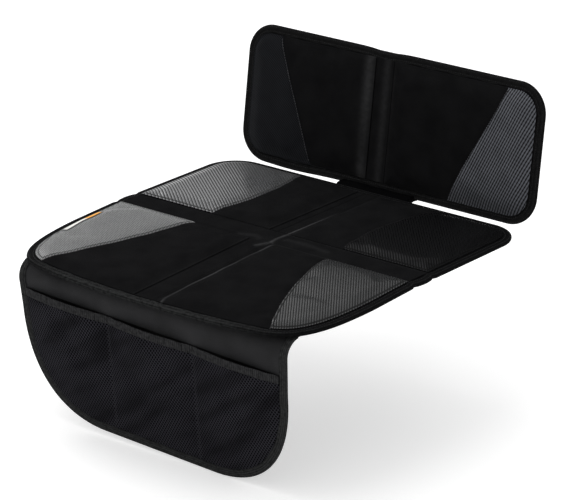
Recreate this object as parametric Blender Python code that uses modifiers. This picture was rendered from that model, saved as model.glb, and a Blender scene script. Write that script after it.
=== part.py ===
"""Car seat protector mat: a quilted seat panel, a short back panel and a front flap with net pockets.

Metres. The origin is the middle of the cross fold band, on the underside of the seat's base
cloth. +X is the right hand of someone on the seat, +Y points to the seat's back and +Z is up.
Every cloth piece is drawn flat, as it is cut, and then laid along the line that it hangs in.
"""
import math

import bmesh
import bpy
from mathutils import Matrix, Vector

# Seat panel, seen from above
SEAT_WIDTH = 0.480
SEAT_REAR = 0.213
SEAT_FRONT = 0.250
REAR_CORNER_RADIUS = 0.048
FRONT_CORNER_DEPTH = 0.150
FRONT_CORNER_REACH = 0.070
FRONT_BOW = 0.012
FRONT_PITCH = math.radians(2.46)
CROSS_BAND_WIDTH = 0.040
CENTRE_BAND_WIDTH = 0.034

# How wide the ribbed inserts are, from the side edge to their seam. The pulls shape the seam's curve.
REAR_INSERT_AT_BAND_RIGHT = 0.140
REAR_INSERT_AT_BAND_LEFT = 0.122
REAR_INSERT_PULL = 0.150
REAR_INSERT_AT_EDGE = 0.124
FRONT_INSERT_AT_BAND = 0.137
FRONT_INSERT_PULL_NEAR_BAND = 0.130
FRONT_INSERT_PULL_NEAR_EDGE = 0.096
FRONT_INSERT_AT_EDGE = 0.045

# Cloth, padding and edge tape
BASE_CLOTH = 0.0020
PAD_HEIGHT = 0.0070
PAD_SHOULDER = 0.012
INSERT_THICKNESS = 0.0012
BAND_THICKNESS = 0.0022
TAPE_WIDTH = 0.011
TAPE_THICKNESS = 0.0014
CLEARANCE = 0.0003

# Woven side label
LABEL_LENGTH = 0.070
LABEL_WIDTH = 0.0095
LABEL_THICKNESS = 0.0008
LABEL_FROM_FRONT = 0.112
LABEL_MARGIN = 0.0015

# Back panel
BACK_WIDTH = 0.474
BACK_HEIGHT = 0.184
BACK_CORNER_RADIUS = 0.040
BACK_LEAN = math.radians(7.72)
BACK_FOLD_WIDTH = 0.030
BACK_FOLD_OFFSET = -0.012
BACK_INSERT_AT_TOP = 0.053
BACK_INSERT_PULL_NEAR_TOP = 0.073
BACK_INSERT_LEAN_AT_FOOT = 0.018
BACK_INSERT_AT_FOOT_RIGHT = 0.136
BACK_INSERT_AT_FOOT_LEFT = 0.124

# Hinge strap between the two panels
HINGE_GAP = 0.020
HINGE_WIDTH = 0.114
HINGE_OFFSET = -0.005
HINGE_RISE = 0.006
HINGE_TAIL = 0.014
HINGE_CLOTH = 0.0020

# Front flap
FLAP_WIDTH = 0.418
FLAP_TAPER = 0.005
FLAP_OFFSET = -0.003
FLAP_CLOTH = 0.0012
FLAP_SEWN_FROM_FRONT = 0.082
FLAP_SEWN_WIDTH = 0.012
FLAP_BEND_FROM_FRONT = 0.0435
FLAP_BEND_RADIUS = 0.021
FLAP_DROP = 0.187
FLAP_LEAN = math.radians(8.0)
FLAP_ROLL = math.radians(2.3)
FLAP_CORNER_RISE = 0.1425
FLAP_CORNER_REACH = 0.122
FLAP_TAPE_THICKNESS = 0.0008

# Net pockets on the flap
POCKET_MOUTH_HEIGHT = 0.1705
POCKET_DEPTH = 0.0075
POCKET_FULLNESS = 0.7
POCKET_SEAM = 0.067
NET_THICKNESS = 0.0008
HEM_WIDTH = 0.011
HEM_THICKNESS = 0.0018
HEM_ARCH = 0.0022

# Fineness of the curves
ARC_STEPS = 10
CURVE_STEPS = 14
CROWN_STEPS = 4
POCKET_STEPS = 7
HEM_STEPS = 2
NET_STEPS = 10

# Levels that follow from the sizes above
FOLD_LINE = -CROSS_BAND_WIDTH / 2
PAD_FLOOR = BASE_CLOTH + CLEARANCE
TAPE_STACK = CLEARANCE + TAPE_THICKNESS
FLAP_TAPE_STACK = CLEARANCE + FLAP_TAPE_THICKNESS

for old in list(bpy.data.objects):
    bpy.data.objects.remove(old, do_unlink=True)
mat_parts = bpy.data.collections.new("car_seat_protector_mat")
bpy.context.scene.collection.children.link(mat_parts)


# Outlines: lists of (x, y) points, counter-clockwise


def arc(centre, radius, start, end):
    """Points of a circular arc, with its angles in degrees."""
    angles = [math.radians(start + (end - start) * i / ARC_STEPS) for i in range(ARC_STEPS + 1)]
    return [(centre[0] + radius * math.cos(a), centre[1] + radius * math.sin(a)) for a in angles]


def bezier(start, pull_start, pull_end, end):
    """Points of a cubic curve from start to end, drawn towards its two pull points."""
    points = []
    for i in range(CURVE_STEPS + 1):
        t = i / CURVE_STEPS
        weights = ((1 - t) ** 3, 3 * t * (1 - t) ** 2, 3 * t * t * (1 - t), t ** 3)
        ends = (start, pull_start, pull_end, end)
        points.append(tuple(sum(w * p[axis] for w, p in zip(weights, ends)) for axis in (0, 1)))
    return points


def without_repeats(points):
    """Drops each point that lies on the one before it."""
    return [p for p, q in zip(points, points[-1:] + points[:-1]) if math.dist(p, q) > 1e-6]


def both_sides(right_half):
    """Joins a right half, from its lower end to its upper one, to its mirror image."""
    return without_repeats(right_half + [(-x, y) for x, y in reversed(right_half)])


def flipped(points):
    """The mirror image of an outline, still counter-clockwise."""
    return [(-x, y) for x, y in reversed(points)]


def inset(points, distance):
    """Moves every side of an outline inwards by the same distance, or outwards if negative."""
    moved = []
    for before, here, after in zip(points[-1:] + points[:-1], points, points[1:] + points[:1]):
        along_in = (Vector(here) - Vector(before)).normalized()
        along_out = (Vector(after) - Vector(here)).normalized()
        normal = (along_in + along_out).orthogonal().normalized()
        reach = distance / max(normal.dot(along_in.orthogonal()), 0.2)
        moved.append((here[0] + normal.x * reach, here[1] + normal.y * reach))
    return moved


def clipped(points, axis, limit, side):
    """The part of an outline where side * coordinate is more than side * limit."""
    kept = []
    for here, after in zip(points, points[1:] + points[:1]):
        inside = side * (here[axis] - limit) >= 0
        if inside:
            kept.append(here)
        if inside != (side * (after[axis] - limit) >= 0):
            share = (limit - here[axis]) / (after[axis] - here[axis])
            kept.append(tuple(a + share * (b - a) for a, b in zip(here, after)))
    return without_repeats(kept)


def eased(points):
    """Drops points that crowd a sharp corner, so that a padded shoulder has room to turn there."""
    corners = []
    for before, here, after in zip(points[-1:] + points[:-1], points, points[1:] + points[:1]):
        if (Vector(here) - Vector(before)).angle(Vector(after) - Vector(here)) > math.pi / 4:
            corners.append(here)
    room = PAD_SHOULDER * 1.2
    return [p for p in points if p in corners or all(math.dist(p, c) > room for c in corners)]


def half_width(outline, s):
    """Half the width of an outline at a height: the widest crossing of its sides."""
    crossings = [0.0]
    for here, after in zip(outline, outline[1:] + outline[:1]):
        if (here[1] - s) * (after[1] - s) <= 0 and here[1] != after[1]:
            crossings.append(here[0] + (after[0] - here[0]) * (s - here[1]) / (after[1] - here[1]))
    return max(crossings)


def seat_outline():
    """Straight rear edge, rounded rear corners, long curved front corners and a bowed front."""
    side = SEAT_WIDTH / 2
    corner_start = (side, -SEAT_FRONT + FRONT_CORNER_DEPTH)
    corner_end = (side - FRONT_CORNER_REACH, -SEAT_FRONT + FRONT_BOW)
    front = bezier((0, -SEAT_FRONT), (corner_end[0] * 0.35, -SEAT_FRONT),
                   (corner_end[0] * 0.70, -SEAT_FRONT + FRONT_BOW * 0.3), corner_end)
    corner = bezier(corner_end, (corner_end[0] + FRONT_CORNER_REACH * 0.75, corner_end[1] + FRONT_BOW * 0.7),
                    (side - FRONT_CORNER_REACH * 0.05, corner_start[1] - FRONT_CORNER_DEPTH * 0.58),
                    corner_start)
    rear = arc((side - REAR_CORNER_RADIUS, SEAT_REAR - REAR_CORNER_RADIUS), REAR_CORNER_RADIUS, 0, 90)
    return both_sides(front + corner + rear)


def back_outline():
    """Rounded rectangle that stands on y = 0."""
    side = BACK_WIDTH / 2 - BACK_CORNER_RADIUS
    lower = arc((side, BACK_CORNER_RADIUS), BACK_CORNER_RADIUS, -90, 0)
    upper = arc((side, BACK_HEIGHT - BACK_CORNER_RADIUS), BACK_CORNER_RADIUS, 0, 90)
    return both_sides(lower + upper)


# Solids


def adopt(name, mesh):
    """Puts a mesh into the mat as an object."""
    piece = bpy.data.objects.new(name, mesh)
    mat_parts.objects.link(piece)
    return piece


def edited(piece, change, *values):
    """Runs one bmesh change on a piece and keeps its normals outward."""
    bm = bmesh.new()
    bm.from_mesh(piece.data)
    change(bm, *values)
    bmesh.ops.recalc_face_normals(bm, faces=bm.faces)
    if bm.calc_volume(signed=True) < 0:
        bmesh.ops.reverse_faces(bm, faces=bm.faces)
    bm.to_mesh(piece.data)
    bm.free()
    return piece


def made_mesh(piece):
    """Replaces a piece's data by its evaluated mesh and clears its modifiers."""
    bpy.context.view_layer.update()
    evaluated = piece.evaluated_get(bpy.context.evaluated_depsgraph_get())
    mesh = bpy.data.meshes.new_from_object(evaluated)
    piece.modifiers.clear()
    piece.data = mesh
    return piece


def plate(name, outline, low, high):
    """Flat sheet between two heights, from a filled curve."""
    curve = bpy.data.curves.new(name + "_outline", "CURVE")
    curve.dimensions = "2D"
    curve.fill_mode = "BOTH"
    curve.extrude = (high - low) / 2
    spline = curve.splines.new("POLY")
    spline.points.add(len(outline) - 1)
    for point, (x, y) in zip(spline.points, outline):
        point.co = (x, y, 0, 1)
    spline.use_cyclic_u = True
    drawn = adopt(name + "_outline", curve)
    drawn.location.z = (low + high) / 2
    bpy.context.view_layer.update()
    mesh = bpy.data.meshes.new_from_object(drawn.evaluated_get(bpy.context.evaluated_depsgraph_get()))
    mesh.transform(drawn.matrix_world)
    bpy.data.objects.remove(drawn, do_unlink=True)
    piece = adopt(name, mesh)
    return edited(piece, weld)


def weld(bm):
    """Joins the loose caps to the walls."""
    bmesh.ops.remove_doubles(bm, verts=bm.verts, dist=1e-6)


def crown(bm, rise, shoulder):
    """Steps the top face in and up along a quarter of an ellipse."""
    top = [f for f in bm.faces if f.normal.z > 0.5]
    for step in range(CROWN_STEPS):
        turn, next_turn = (math.pi / 2 * k / CROWN_STEPS for k in (step, step + 1))
        bmesh.ops.inset_region(bm, faces=top, use_boundary=True, use_even_offset=True,
                               thickness=shoulder * (math.cos(turn) - math.cos(next_turn)),
                               depth=rise * (math.sin(next_turn) - math.sin(turn)))


def padded_form(name, outline, grow=0.0, low=PAD_FLOOR):
    """A quilted cell: upright stitched edge, rounded shoulder and level top, grown on all sides."""
    edge = PAD_HEIGHT * 0.25
    form = plate(name, inset(outline, -grow), low, PAD_FLOOR + edge)
    return edited(form, crown, PAD_HEIGHT - edge + grow, PAD_SHOULDER + grow)


def combined(piece, other, operation):
    """Runs one exact Boolean and removes the second shape."""
    step = piece.modifiers.new(operation.lower(), "BOOLEAN")
    step.operation = operation
    step.object = other
    made_mesh(piece)
    bpy.data.objects.remove(other, do_unlink=True)
    return piece


def cloth_over(name, cell, region, low, high):
    """The layer between two heights over a quilted cell, where the region covers it."""
    reach = PAD_HEIGHT * 4
    layer = padded_form(name, cell, high)
    combined(layer, plate("region", region, -reach, reach), "INTERSECT")
    return combined(layer, padded_form("underneath", cell, low, -2 * reach), "DIFFERENCE")


def quilted_cell(pad_name, insert_name, cell, region, gapped_region):
    """A pad with a recess, and the ribbed insert that lies flush in it."""
    reach = PAD_HEIGHT * 4
    insert = cloth_over(insert_name, cell, gapped_region, -INSERT_THICKNESS, 0.0)
    recess = plate("recess", region, -reach, reach)
    core = padded_form("core", cell, -INSERT_THICKNESS - CLEARANCE, -2 * reach)
    pad = combined(padded_form(pad_name, cell), combined(recess, core, "DIFFERENCE"), "DIFFERENCE")
    return pad, insert


def edge_tape(name, outline, cloth, stack):
    """Tape folded round a cloth's edge: a ring with a slot that the cloth sits in."""
    rim = plate(name, outline, -stack, cloth + stack)
    rounding = rim.modifiers.new("rounding", "BEVEL")
    rounding.width = stack * 0.7
    rounding.segments = 2
    rounding.limit_method = "ANGLE"
    made_mesh(rim)
    slot = plate("slot", inset(outline, stack - CLEARANCE), -CLEARANCE, cloth + CLEARANCE)
    window = plate("window", inset(outline, TAPE_WIDTH), -stack * 3, cloth + stack * 3)
    combined(rim, slot, "DIFFERENCE")
    return combined(rim, window, "DIFFERENCE")


# Lines that the flat pieces are laid along. Each gives y, z and slope at a distance s.


def seat_line(s):
    """Level from the rear edge to the cross band, then sloping down to the front."""
    if s >= FOLD_LINE:
        return s, 0.0, 0.0
    ahead = s - FOLD_LINE
    return FOLD_LINE + ahead * math.cos(FRONT_PITCH), ahead * math.sin(FRONT_PITCH), FRONT_PITCH


def below(point, depth):
    """The place at a depth under a line's point, square to the line."""
    y, z, slope = point
    return y + depth * math.sin(slope), z - depth * math.cos(slope), slope


BEND_START = -SEAT_FRONT + FLAP_BEND_FROM_FRONT
FLAP_TOP = -SEAT_FRONT + FLAP_SEWN_FROM_FRONT
BEND_TURN = math.pi / 2 + FLAP_LEAN - FRONT_PITCH
BEND_END = BEND_START - FLAP_BEND_RADIUS * BEND_TURN
FLAP_BOTTOM = BEND_END - FLAP_DROP
FLAP_TAPE_START = BEND_START + HEM_WIDTH / 2
SEWN_DEPTH = CLEARANCE + FLAP_CLOTH
HUNG_DEPTH = TAPE_STACK + CLEARANCE + FLAP_CLOTH + FLAP_TAPE_STACK
POCKET_MOUTH = FLAP_BOTTOM + POCKET_MOUTH_HEIGHT
POCKET_FLOOR = FLAP_BOTTOM + TAPE_WIDTH + 2 * CLEARANCE


def flap_line(s):
    """Sewn under the seat, clear of the seat's edge tape, round the bend and down."""
    sewn_end = FLAP_TOP - FLAP_SEWN_WIDTH
    if s >= BEND_START:
        share = min(max((sewn_end - s) / (sewn_end - FLAP_TAPE_START), 0.0), 1.0)
        return below(seat_line(s), SEWN_DEPTH + share * (HUNG_DEPTH - SEWN_DEPTH))
    y, z, slope = below(seat_line(BEND_START), HUNG_DEPTH + FLAP_BEND_RADIUS)
    turned = FRONT_PITCH + min(BEND_START - s, BEND_START - BEND_END) / FLAP_BEND_RADIUS
    y -= FLAP_BEND_RADIUS * math.sin(turned)
    z += FLAP_BEND_RADIUS * math.cos(turned)
    down = max(BEND_END - s, 0.0)
    return y - down * math.cos(turned), z - down * math.sin(turned), turned


def lay(bm, line, cuts):
    """Creases flat cloth at the cuts and lays it along the line."""
    for place in cuts:
        everything = bm.verts[:] + bm.edges[:] + bm.faces[:]
        bmesh.ops.bisect_plane(bm, geom=everything, plane_co=(0, place, 0), plane_no=(0, 1, 0), dist=1e-7)
    for vert in bm.verts:
        y, z, slope = line(vert.co.y)
        vert.co.y = y - vert.co.z * math.sin(slope)
        vert.co.z = z + vert.co.z * math.cos(slope)


def laid_on_seat(piece):
    """Lays a flat piece along the seat's line, with a crease at the fold."""
    return edited(piece, lay, seat_line, [FOLD_LINE])


def turned(piece):
    """Shifts and turns a flat piece to the slightly slanted way that the flap hangs."""
    pivot = Vector((0, BEND_START, 0))
    hung = pivot + Vector((FLAP_OFFSET, 0, 0))
    turn = Matrix.Translation(hung) @ Matrix.Rotation(-FLAP_ROLL, 4, "Z") @ Matrix.Translation(-pivot)
    piece.data.transform(turn)
    return piece


def laid_on_flap(piece):
    """Lays a flat piece along the flap's line, with creases round its bend."""
    bends = [BEND_START + (BEND_END - BEND_START) * i / ARC_STEPS for i in range(ARC_STEPS + 1)]
    return edited(piece, lay, flap_line, [FLAP_TOP - FLAP_SEWN_WIDTH, FLAP_TAPE_START] + bends)


# Seat panel


def seat_cells():
    """Outlines of the four cells: rear and front on the right side; the left ones mirror them."""
    field = inset(seat_outline(), TAPE_WIDTH + CLEARANCE)
    right = clipped(field, 0, CENTRE_BAND_WIDTH / 2, 1)
    return eased(clipped(right, 1, CROSS_BAND_WIDTH / 2, 1)), eased(clipped(right, 1, FOLD_LINE, -1))


def seam_region(seam, shift):
    """The ground outside a seam on the right side, moved outwards by a shift."""
    far = SEAT_WIDTH
    line = [(x + shift, y) for x, y in seam]
    low, high = line[0], line[-1]
    return [(far, low[1]), (far, high[1])] + line[::-1]


def rear_seam(width_at_band):
    """The seam of a rear insert, which starts at its own width beside the cross band."""
    side = SEAT_WIDTH / 2
    return bezier((side - width_at_band, 0), (side - REAR_INSERT_PULL, SEAT_REAR * 0.35),
                  (side - REAR_INSERT_PULL, SEAT_REAR * 0.72), (side - REAR_INSERT_AT_EDGE, SEAT_REAR))


def front_seam():
    """The seam of a front insert, which swings out towards the front corner."""
    side = SEAT_WIDTH / 2
    return bezier((side - FRONT_INSERT_AT_EDGE, -SEAT_FRONT),
                  (side - FRONT_INSERT_PULL_NEAR_EDGE, -SEAT_FRONT * 0.66),
                  (side - FRONT_INSERT_PULL_NEAR_BAND, -SEAT_FRONT * 0.32),
                  (side - FRONT_INSERT_AT_BAND, 0))


def make_seat():
    """Base cloth in its edge tape, four quilted cells, the bands between them and the label."""
    laid_on_seat(plate("seat_base_cloth", inset(seat_outline(), TAPE_STACK), 0, BASE_CLOTH))
    laid_on_seat(edge_tape("seat_edge_binding", seat_outline(), BASE_CLOTH, TAPE_STACK))
    rear_cell, front_cell = seat_cells()
    cells = {"rear_right": (rear_cell, rear_seam(REAR_INSERT_AT_BAND_RIGHT)),
             "rear_left": (rear_cell, rear_seam(REAR_INSERT_AT_BAND_LEFT)),
             "front_right": (front_cell, front_seam()),
             "front_left": (front_cell, front_seam())}
    for place, (cell, seam) in cells.items():
        shapes = cell, seam_region(seam, 0.0), seam_region(seam, CLEARANCE)
        if place.endswith("left"):
            shapes = [flipped(shape) for shape in shapes]
        for piece in quilted_cell("seat_pad_" + place, "seat_insert_" + place, *shapes):
            laid_on_seat(piece)
    half_cross = CROSS_BAND_WIDTH / 2 - CLEARANCE
    half_centre = CENTRE_BAND_WIDTH / 2 - CLEARANCE
    field = inset(seat_outline(), TAPE_WIDTH + CLEARANCE)
    cross = clipped(clipped(field, 1, half_cross, -1), 1, -half_cross, 1)
    centre = clipped(clipped(field, 0, half_centre, -1), 0, -half_centre, 1)
    strips = {"seat_cross_band": cross,
              "seat_centre_band_rear": clipped(centre, 1, CROSS_BAND_WIDTH / 2, 1),
              "seat_centre_band_front": clipped(centre, 1, FOLD_LINE, -1)}
    for name, outline in strips.items():
        laid_on_seat(plate(name, outline, PAD_FLOOR, PAD_FLOOR + BAND_THICKNESS))
    make_label()


def make_label():
    """Plain woven label, sewn flat on the front left insert beside the edge tape."""
    cell = seat_cells()[1]
    low = -SEAT_FRONT + LABEL_FROM_FRONT
    high = low + LABEL_LENGTH
    outer = inset(cell, LABEL_MARGIN)
    inner = inset(cell, LABEL_MARGIN + LABEL_WIDTH)
    corners = [(half_width(inner, low), low), (half_width(outer, low), low),
               (half_width(outer, high), high), (half_width(inner, high), high)]
    layer = CLEARANCE, CLEARANCE + LABEL_THICKNESS
    laid_on_seat(cloth_over("side_label", flipped(cell), flipped(corners), *layer))


# Back panel, drawn lying on its back and then stood up behind the seat

BACK_FOOT = Vector((0, SEAT_REAR + HINGE_GAP, 0))
BACK_STAND = Matrix.Translation(BACK_FOOT) @ Matrix.Rotation(math.pi / 2 - BACK_LEAN, 4, "X")


def back_seam(width_at_foot):
    """The seam of a back insert, which swings out towards the upper corner."""
    side = BACK_WIDTH / 2
    foot_pull = width_at_foot - BACK_INSERT_LEAN_AT_FOOT
    return bezier((side - width_at_foot, 0), (side - foot_pull, BACK_HEIGHT * 0.33),
                  (side - BACK_INSERT_PULL_NEAR_TOP, BACK_HEIGHT * 0.66),
                  (side - BACK_INSERT_AT_TOP, BACK_HEIGHT))


def make_back():
    """Two padded halves with an insert each, on a base cloth that folds down its middle."""
    stand = bpy.data.objects.new("back_stand", None)
    stand.matrix_world = BACK_STAND
    mat_parts.objects.link(stand)
    pieces = [plate("back_base_cloth", inset(back_outline(), TAPE_STACK), 0, BASE_CLOTH),
              edge_tape("back_edge_binding", back_outline(), BASE_CLOTH, TAPE_STACK)]
    field = inset(back_outline(), TAPE_WIDTH + CLEARANCE)
    half_fold = BACK_FOLD_WIDTH / 2
    right_cell = eased(clipped(field, 0, BACK_FOLD_OFFSET + half_fold, 1))
    right_seam = back_seam(BACK_INSERT_AT_FOOT_RIGHT)
    right_regions = [seam_region(right_seam, shift) for shift in (0.0, CLEARANCE)]
    pieces += quilted_cell("back_pad_right", "back_insert_right", right_cell, *right_regions)
    left_cell = eased(clipped(field, 0, BACK_FOLD_OFFSET - half_fold, -1))
    left_seam = back_seam(BACK_INSERT_AT_FOOT_LEFT)
    left_regions = [flipped(seam_region(left_seam, shift)) for shift in (0.0, CLEARANCE)]
    pieces += quilted_cell("back_pad_left", "back_insert_left", left_cell, *left_regions)
    strip = clipped(field, 0, BACK_FOLD_OFFSET + half_fold - CLEARANCE, -1)
    strip = clipped(strip, 0, BACK_FOLD_OFFSET - half_fold + CLEARANCE, 1)
    pieces.append(plate("back_fold_band", strip, PAD_FLOOR, PAD_FLOOR + BAND_THICKNESS))
    for piece in pieces:
        piece.parent = stand


def make_hinge_strap():
    """Rolled cloth in the gap, with a tail under the seat and one behind the back panel."""
    def at_back(up, out):
        place = BACK_STAND @ Vector((0, up, out))
        return place.y, place.z

    under = -TAPE_STACK - CLEARANCE
    seat_wall = SEAT_REAR + CLEARANCE
    front_wall = BASE_CLOTH + TAPE_STACK + CLEARANCE
    outer = under - HINGE_CLOTH
    roll_middle = SEAT_REAR + HINGE_GAP * 0.45
    roll = [(seat_wall, BASE_CLOTH), (roll_middle - HINGE_GAP * 0.3, HINGE_RISE * 0.75),
            (roll_middle, HINGE_RISE), at_back(HINGE_RISE * 0.8, front_wall),
            at_back(-CLEARANCE, front_wall)]
    back_tail = [at_back(-CLEARANCE, under), at_back(HINGE_TAIL, under), at_back(HINGE_TAIL, outer),
                 at_back(-CLEARANCE - HINGE_CLOTH, outer)]
    seat_tail = [(seat_wall, outer), (seat_wall - HINGE_TAIL, outer), (seat_wall - HINGE_TAIL, under),
                 (seat_wall, under)]
    left_end = HINGE_OFFSET - HINGE_WIDTH / 2
    strap = plate("hinge_strap", roll + back_tail + seat_tail, left_end, left_end + HINGE_WIDTH)
    section_to_mat = Matrix(((0, 0, 1, 0), (1, 0, 0, 0), (0, 1, 0, 0), (0, 0, 0, 1)))
    strap.data.transform(section_to_mat)


# Front flap and its pockets


def flap_outline():
    """Sides that open a little to the top, long round lower corners and a level lower edge."""
    side = FLAP_WIDTH / 2
    corner_start = (side - FLAP_CORNER_REACH, FLAP_BOTTOM)
    corner_end = (side, FLAP_BOTTOM + FLAP_CORNER_RISE)
    corner = bezier(corner_start, (corner_start[0] + FLAP_CORNER_REACH * 0.65, FLAP_BOTTOM),
                    (side, corner_end[1] - FLAP_CORNER_RISE * 0.6), corner_end)
    return both_sides(corner + [(side + FLAP_TAPER, BEND_START), (side + FLAP_TAPER, FLAP_TOP)])


def pocket_sheet(name, top, bottom, thickness, rows):
    """Cloth in front of the flap, sewn down at two seams and standing off between them."""
    field = inset(flap_outline(), TAPE_WIDTH + CLEARANCE)
    half_mouth = half_width(field, POCKET_MOUTH)
    seams = (-half_mouth, -POCKET_SEAM, POCKET_SEAM, half_mouth)
    pockets = len(seams) - 1
    bm = bmesh.new()
    bmesh.ops.create_grid(bm, x_segments=POCKET_STEPS * pockets, y_segments=rows, size=0.5)
    for vert in bm.verts:
        s = bottom + (vert.co.y + 0.5) * (top - bottom)
        place = (vert.co.x + 0.5) * pockets
        pocket = min(int(place + 1e-6), pockets - 1)
        across = min(max(place - pocket, 0.0), 1.0)
        side = half_width(field, s)
        left, right = (max(-side, min(side, edge)) for edge in seams[pocket:pocket + 2])
        sag = (POCKET_MOUTH - s) / (POCKET_MOUTH - POCKET_FLOOR)
        free = math.sin(math.pi * across) ** POCKET_FULLNESS * max(0.0, 1 - sag ** 2)
        vert.co = (left + across * (right - left), s + HEM_ARCH * free,
                   FLAP_CLOTH / 2 + CLEARANCE + POCKET_DEPTH * free)
    mesh = bpy.data.meshes.new(name)
    bm.to_mesh(mesh)
    bm.free()
    sheet = adopt(name, mesh)
    wall = sheet.modifiers.new("wall", "SOLIDIFY")
    wall.thickness = thickness
    wall.offset = 1
    return made_mesh(sheet)


def make_flap():
    """The flap's cloth, the tape round its free edge, and the net with its hem."""
    half_cloth = FLAP_CLOTH / 2
    cloth = plate("flap_cloth", inset(flap_outline(), FLAP_TAPE_STACK), -half_cloth, half_cloth)
    laid_on_flap(turned(cloth))
    tape = edge_tape("flap_edge_binding", flap_outline(), FLAP_CLOTH, FLAP_TAPE_STACK)
    tape.data.transform(Matrix.Translation((0, 0, -half_cloth)))
    far = FLAP_WIDTH
    under_seat = [(-far, FLAP_TAPE_START), (far, FLAP_TAPE_START), (far, far), (-far, far)]
    laid_on_flap(combined(turned(tape), plate("under_seat", under_seat, -far, far), "DIFFERENCE"))
    hem_bottom = POCKET_MOUTH - HEM_WIDTH
    hem = pocket_sheet("pocket_hem", POCKET_MOUTH, hem_bottom, HEM_THICKNESS, HEM_STEPS)
    net = pocket_sheet("pocket_net", hem_bottom - CLEARANCE, POCKET_FLOOR, NET_THICKNESS, NET_STEPS)
    laid_on_flap(turned(hem))
    laid_on_flap(turned(net))


# Materials


def finish(prefix, colour, roughness, metallic=0.0):
    """Gives every piece whose name starts with the prefix its own material."""
    for piece in mat_parts.objects:
        if piece.type == "MESH" and piece.name.startswith(prefix):
            material = bpy.data.materials.new(piece.name)
            material.use_nodes = True
            shader = material.node_tree.nodes["Principled BSDF"]
            shader.inputs["Base Color"].default_value = (*colour, 1)
            shader.inputs["Roughness"].default_value = roughness
            shader.inputs["Metallic"].default_value = metallic
            piece.data.materials.clear()
            piece.data.materials.append(material)


make_seat()
make_back()
make_hinge_strap()
make_flap()
for cloth_prefix in ("seat", "back", "hinge", "flap"):
    finish(cloth_prefix, (0.022, 0.022, 0.024), 0.85)
for insert_prefix in ("seat_insert", "back_insert"):
    finish(insert_prefix, (0.060, 0.062, 0.066), 0.42)
finish("pocket", (0.020, 0.021, 0.030), 0.80)
finish("side_label", (0.85, 0.78, 0.66), 0.60)
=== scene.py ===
"""Car seat protector mat: the sewn pieces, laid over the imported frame.

Metres. Every cloth is drawn flat, as it is cut, in two coordinates: across, to the right, and along,
towards the seat's back. It is then laid on the seat, stood up at the back or hung down as the flap.
"""
import math

import bpy
import numpy as np
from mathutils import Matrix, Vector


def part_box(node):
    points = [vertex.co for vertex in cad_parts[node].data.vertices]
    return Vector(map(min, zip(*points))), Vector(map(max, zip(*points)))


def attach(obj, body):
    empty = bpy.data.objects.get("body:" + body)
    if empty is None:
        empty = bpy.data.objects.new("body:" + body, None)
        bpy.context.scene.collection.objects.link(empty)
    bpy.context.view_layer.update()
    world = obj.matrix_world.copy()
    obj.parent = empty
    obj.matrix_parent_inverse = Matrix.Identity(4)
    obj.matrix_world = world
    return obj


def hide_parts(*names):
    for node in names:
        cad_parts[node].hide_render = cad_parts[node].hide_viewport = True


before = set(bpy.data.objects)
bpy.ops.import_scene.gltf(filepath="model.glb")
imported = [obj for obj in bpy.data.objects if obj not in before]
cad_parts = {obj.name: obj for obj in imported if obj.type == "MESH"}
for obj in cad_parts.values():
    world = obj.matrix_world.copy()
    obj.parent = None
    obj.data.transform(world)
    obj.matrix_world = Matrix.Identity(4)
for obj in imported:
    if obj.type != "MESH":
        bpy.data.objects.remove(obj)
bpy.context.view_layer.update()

# Lining of the seat panel
# A thin woven cloth, cut to the panel's outline, that everything else is sewn to.
# It is level behind the fold in front of the cross band, and slopes down a little before it.

SEAT_SIDE, SEAT_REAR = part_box("seat_edge_binding")[1][:2]
FRONT_PITCH = math.radians(2.46)
CROSS_BAND_WIDTH = 0.040
FOLD_LINE = -CROSS_BAND_WIDTH / 2
LINING = 0.0020
TAPE_STACK = 0.0017
SEAT_FRONT = (FOLD_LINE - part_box("seat_base_cloth")[0][1]) / math.cos(FRONT_PITCH) - FOLD_LINE + TAPE_STACK
REAR_CORNER_RADIUS = 0.048
FRONT_CORNER_DEPTH = 0.150
FRONT_CORNER_REACH = 0.070
FRONT_BOW = 0.012
OUTLINE_STEP = 0.0005
BACKING_COLOUR = (0.036, 0.036, 0.038)


def pulled_curve(start, pull_start, pull_end, end, steps=60):
    """Cubic curve: (1-t)^3 start + 3t(1-t)^2 pull_start + 3t^2(1-t) pull_end + t^3 end."""
    t = np.linspace(0, 1, steps)[:, None]
    a, b, c, d = (np.array(point, float) for point in (start, pull_start, pull_end, end))
    return (1 - t) ** 3 * a + 3 * t * (1 - t) ** 2 * b + 3 * t ** 2 * (1 - t) * c + t ** 3 * d


def round_corner(centre, radius, start, end):
    """Circular arc: centre + radius * (cos a, sin a), for a between two angles in degrees."""
    a = np.radians(np.linspace(start, end, 40))
    return np.stack([centre[0] + radius * np.cos(a), centre[1] + radius * np.sin(a)], axis=1)


def run_along(points):
    """Length of a line from its start to each of its points."""
    return np.concatenate([[0], np.cumsum(np.linalg.norm(np.diff(points, axis=0), axis=1))])


def evenly(points, spacing, loop=True):
    """The same line with its points at equal distances along it."""
    if loop:
        points = np.vstack([points, points[:1]])
    run = run_along(points)
    kept = np.concatenate([[True], np.diff(run) > 1e-9])
    count = int(round(run[-1] / spacing)) + 1
    at = np.linspace(0, run[-1], count)
    line = np.stack([np.interp(at, run[kept], points[kept, k]) for k in range(points.shape[1])], axis=1)
    return line[:-1] if loop else line


def headings(line, loop=True):
    """Unit direction of a line at each point, from the point before it to the one after it."""
    if loop:
        step = np.roll(line, -1, axis=0) - np.roll(line, 1, axis=0)
    else:
        step = np.gradient(line, axis=0)
    return step / np.linalg.norm(step, axis=1, keepdims=True)


def to_left(ahead):
    """Each direction turned a quarter to the left: (x, y) to (-y, x)."""
    return np.stack([-ahead[:, 1], ahead[:, 0]], axis=1)


def moved_in(line, distance, loop=True):
    """A counter-clockwise outline moved inwards: each point goes to its left by the distance."""
    return line + distance * to_left(headings(line, loop))


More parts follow.
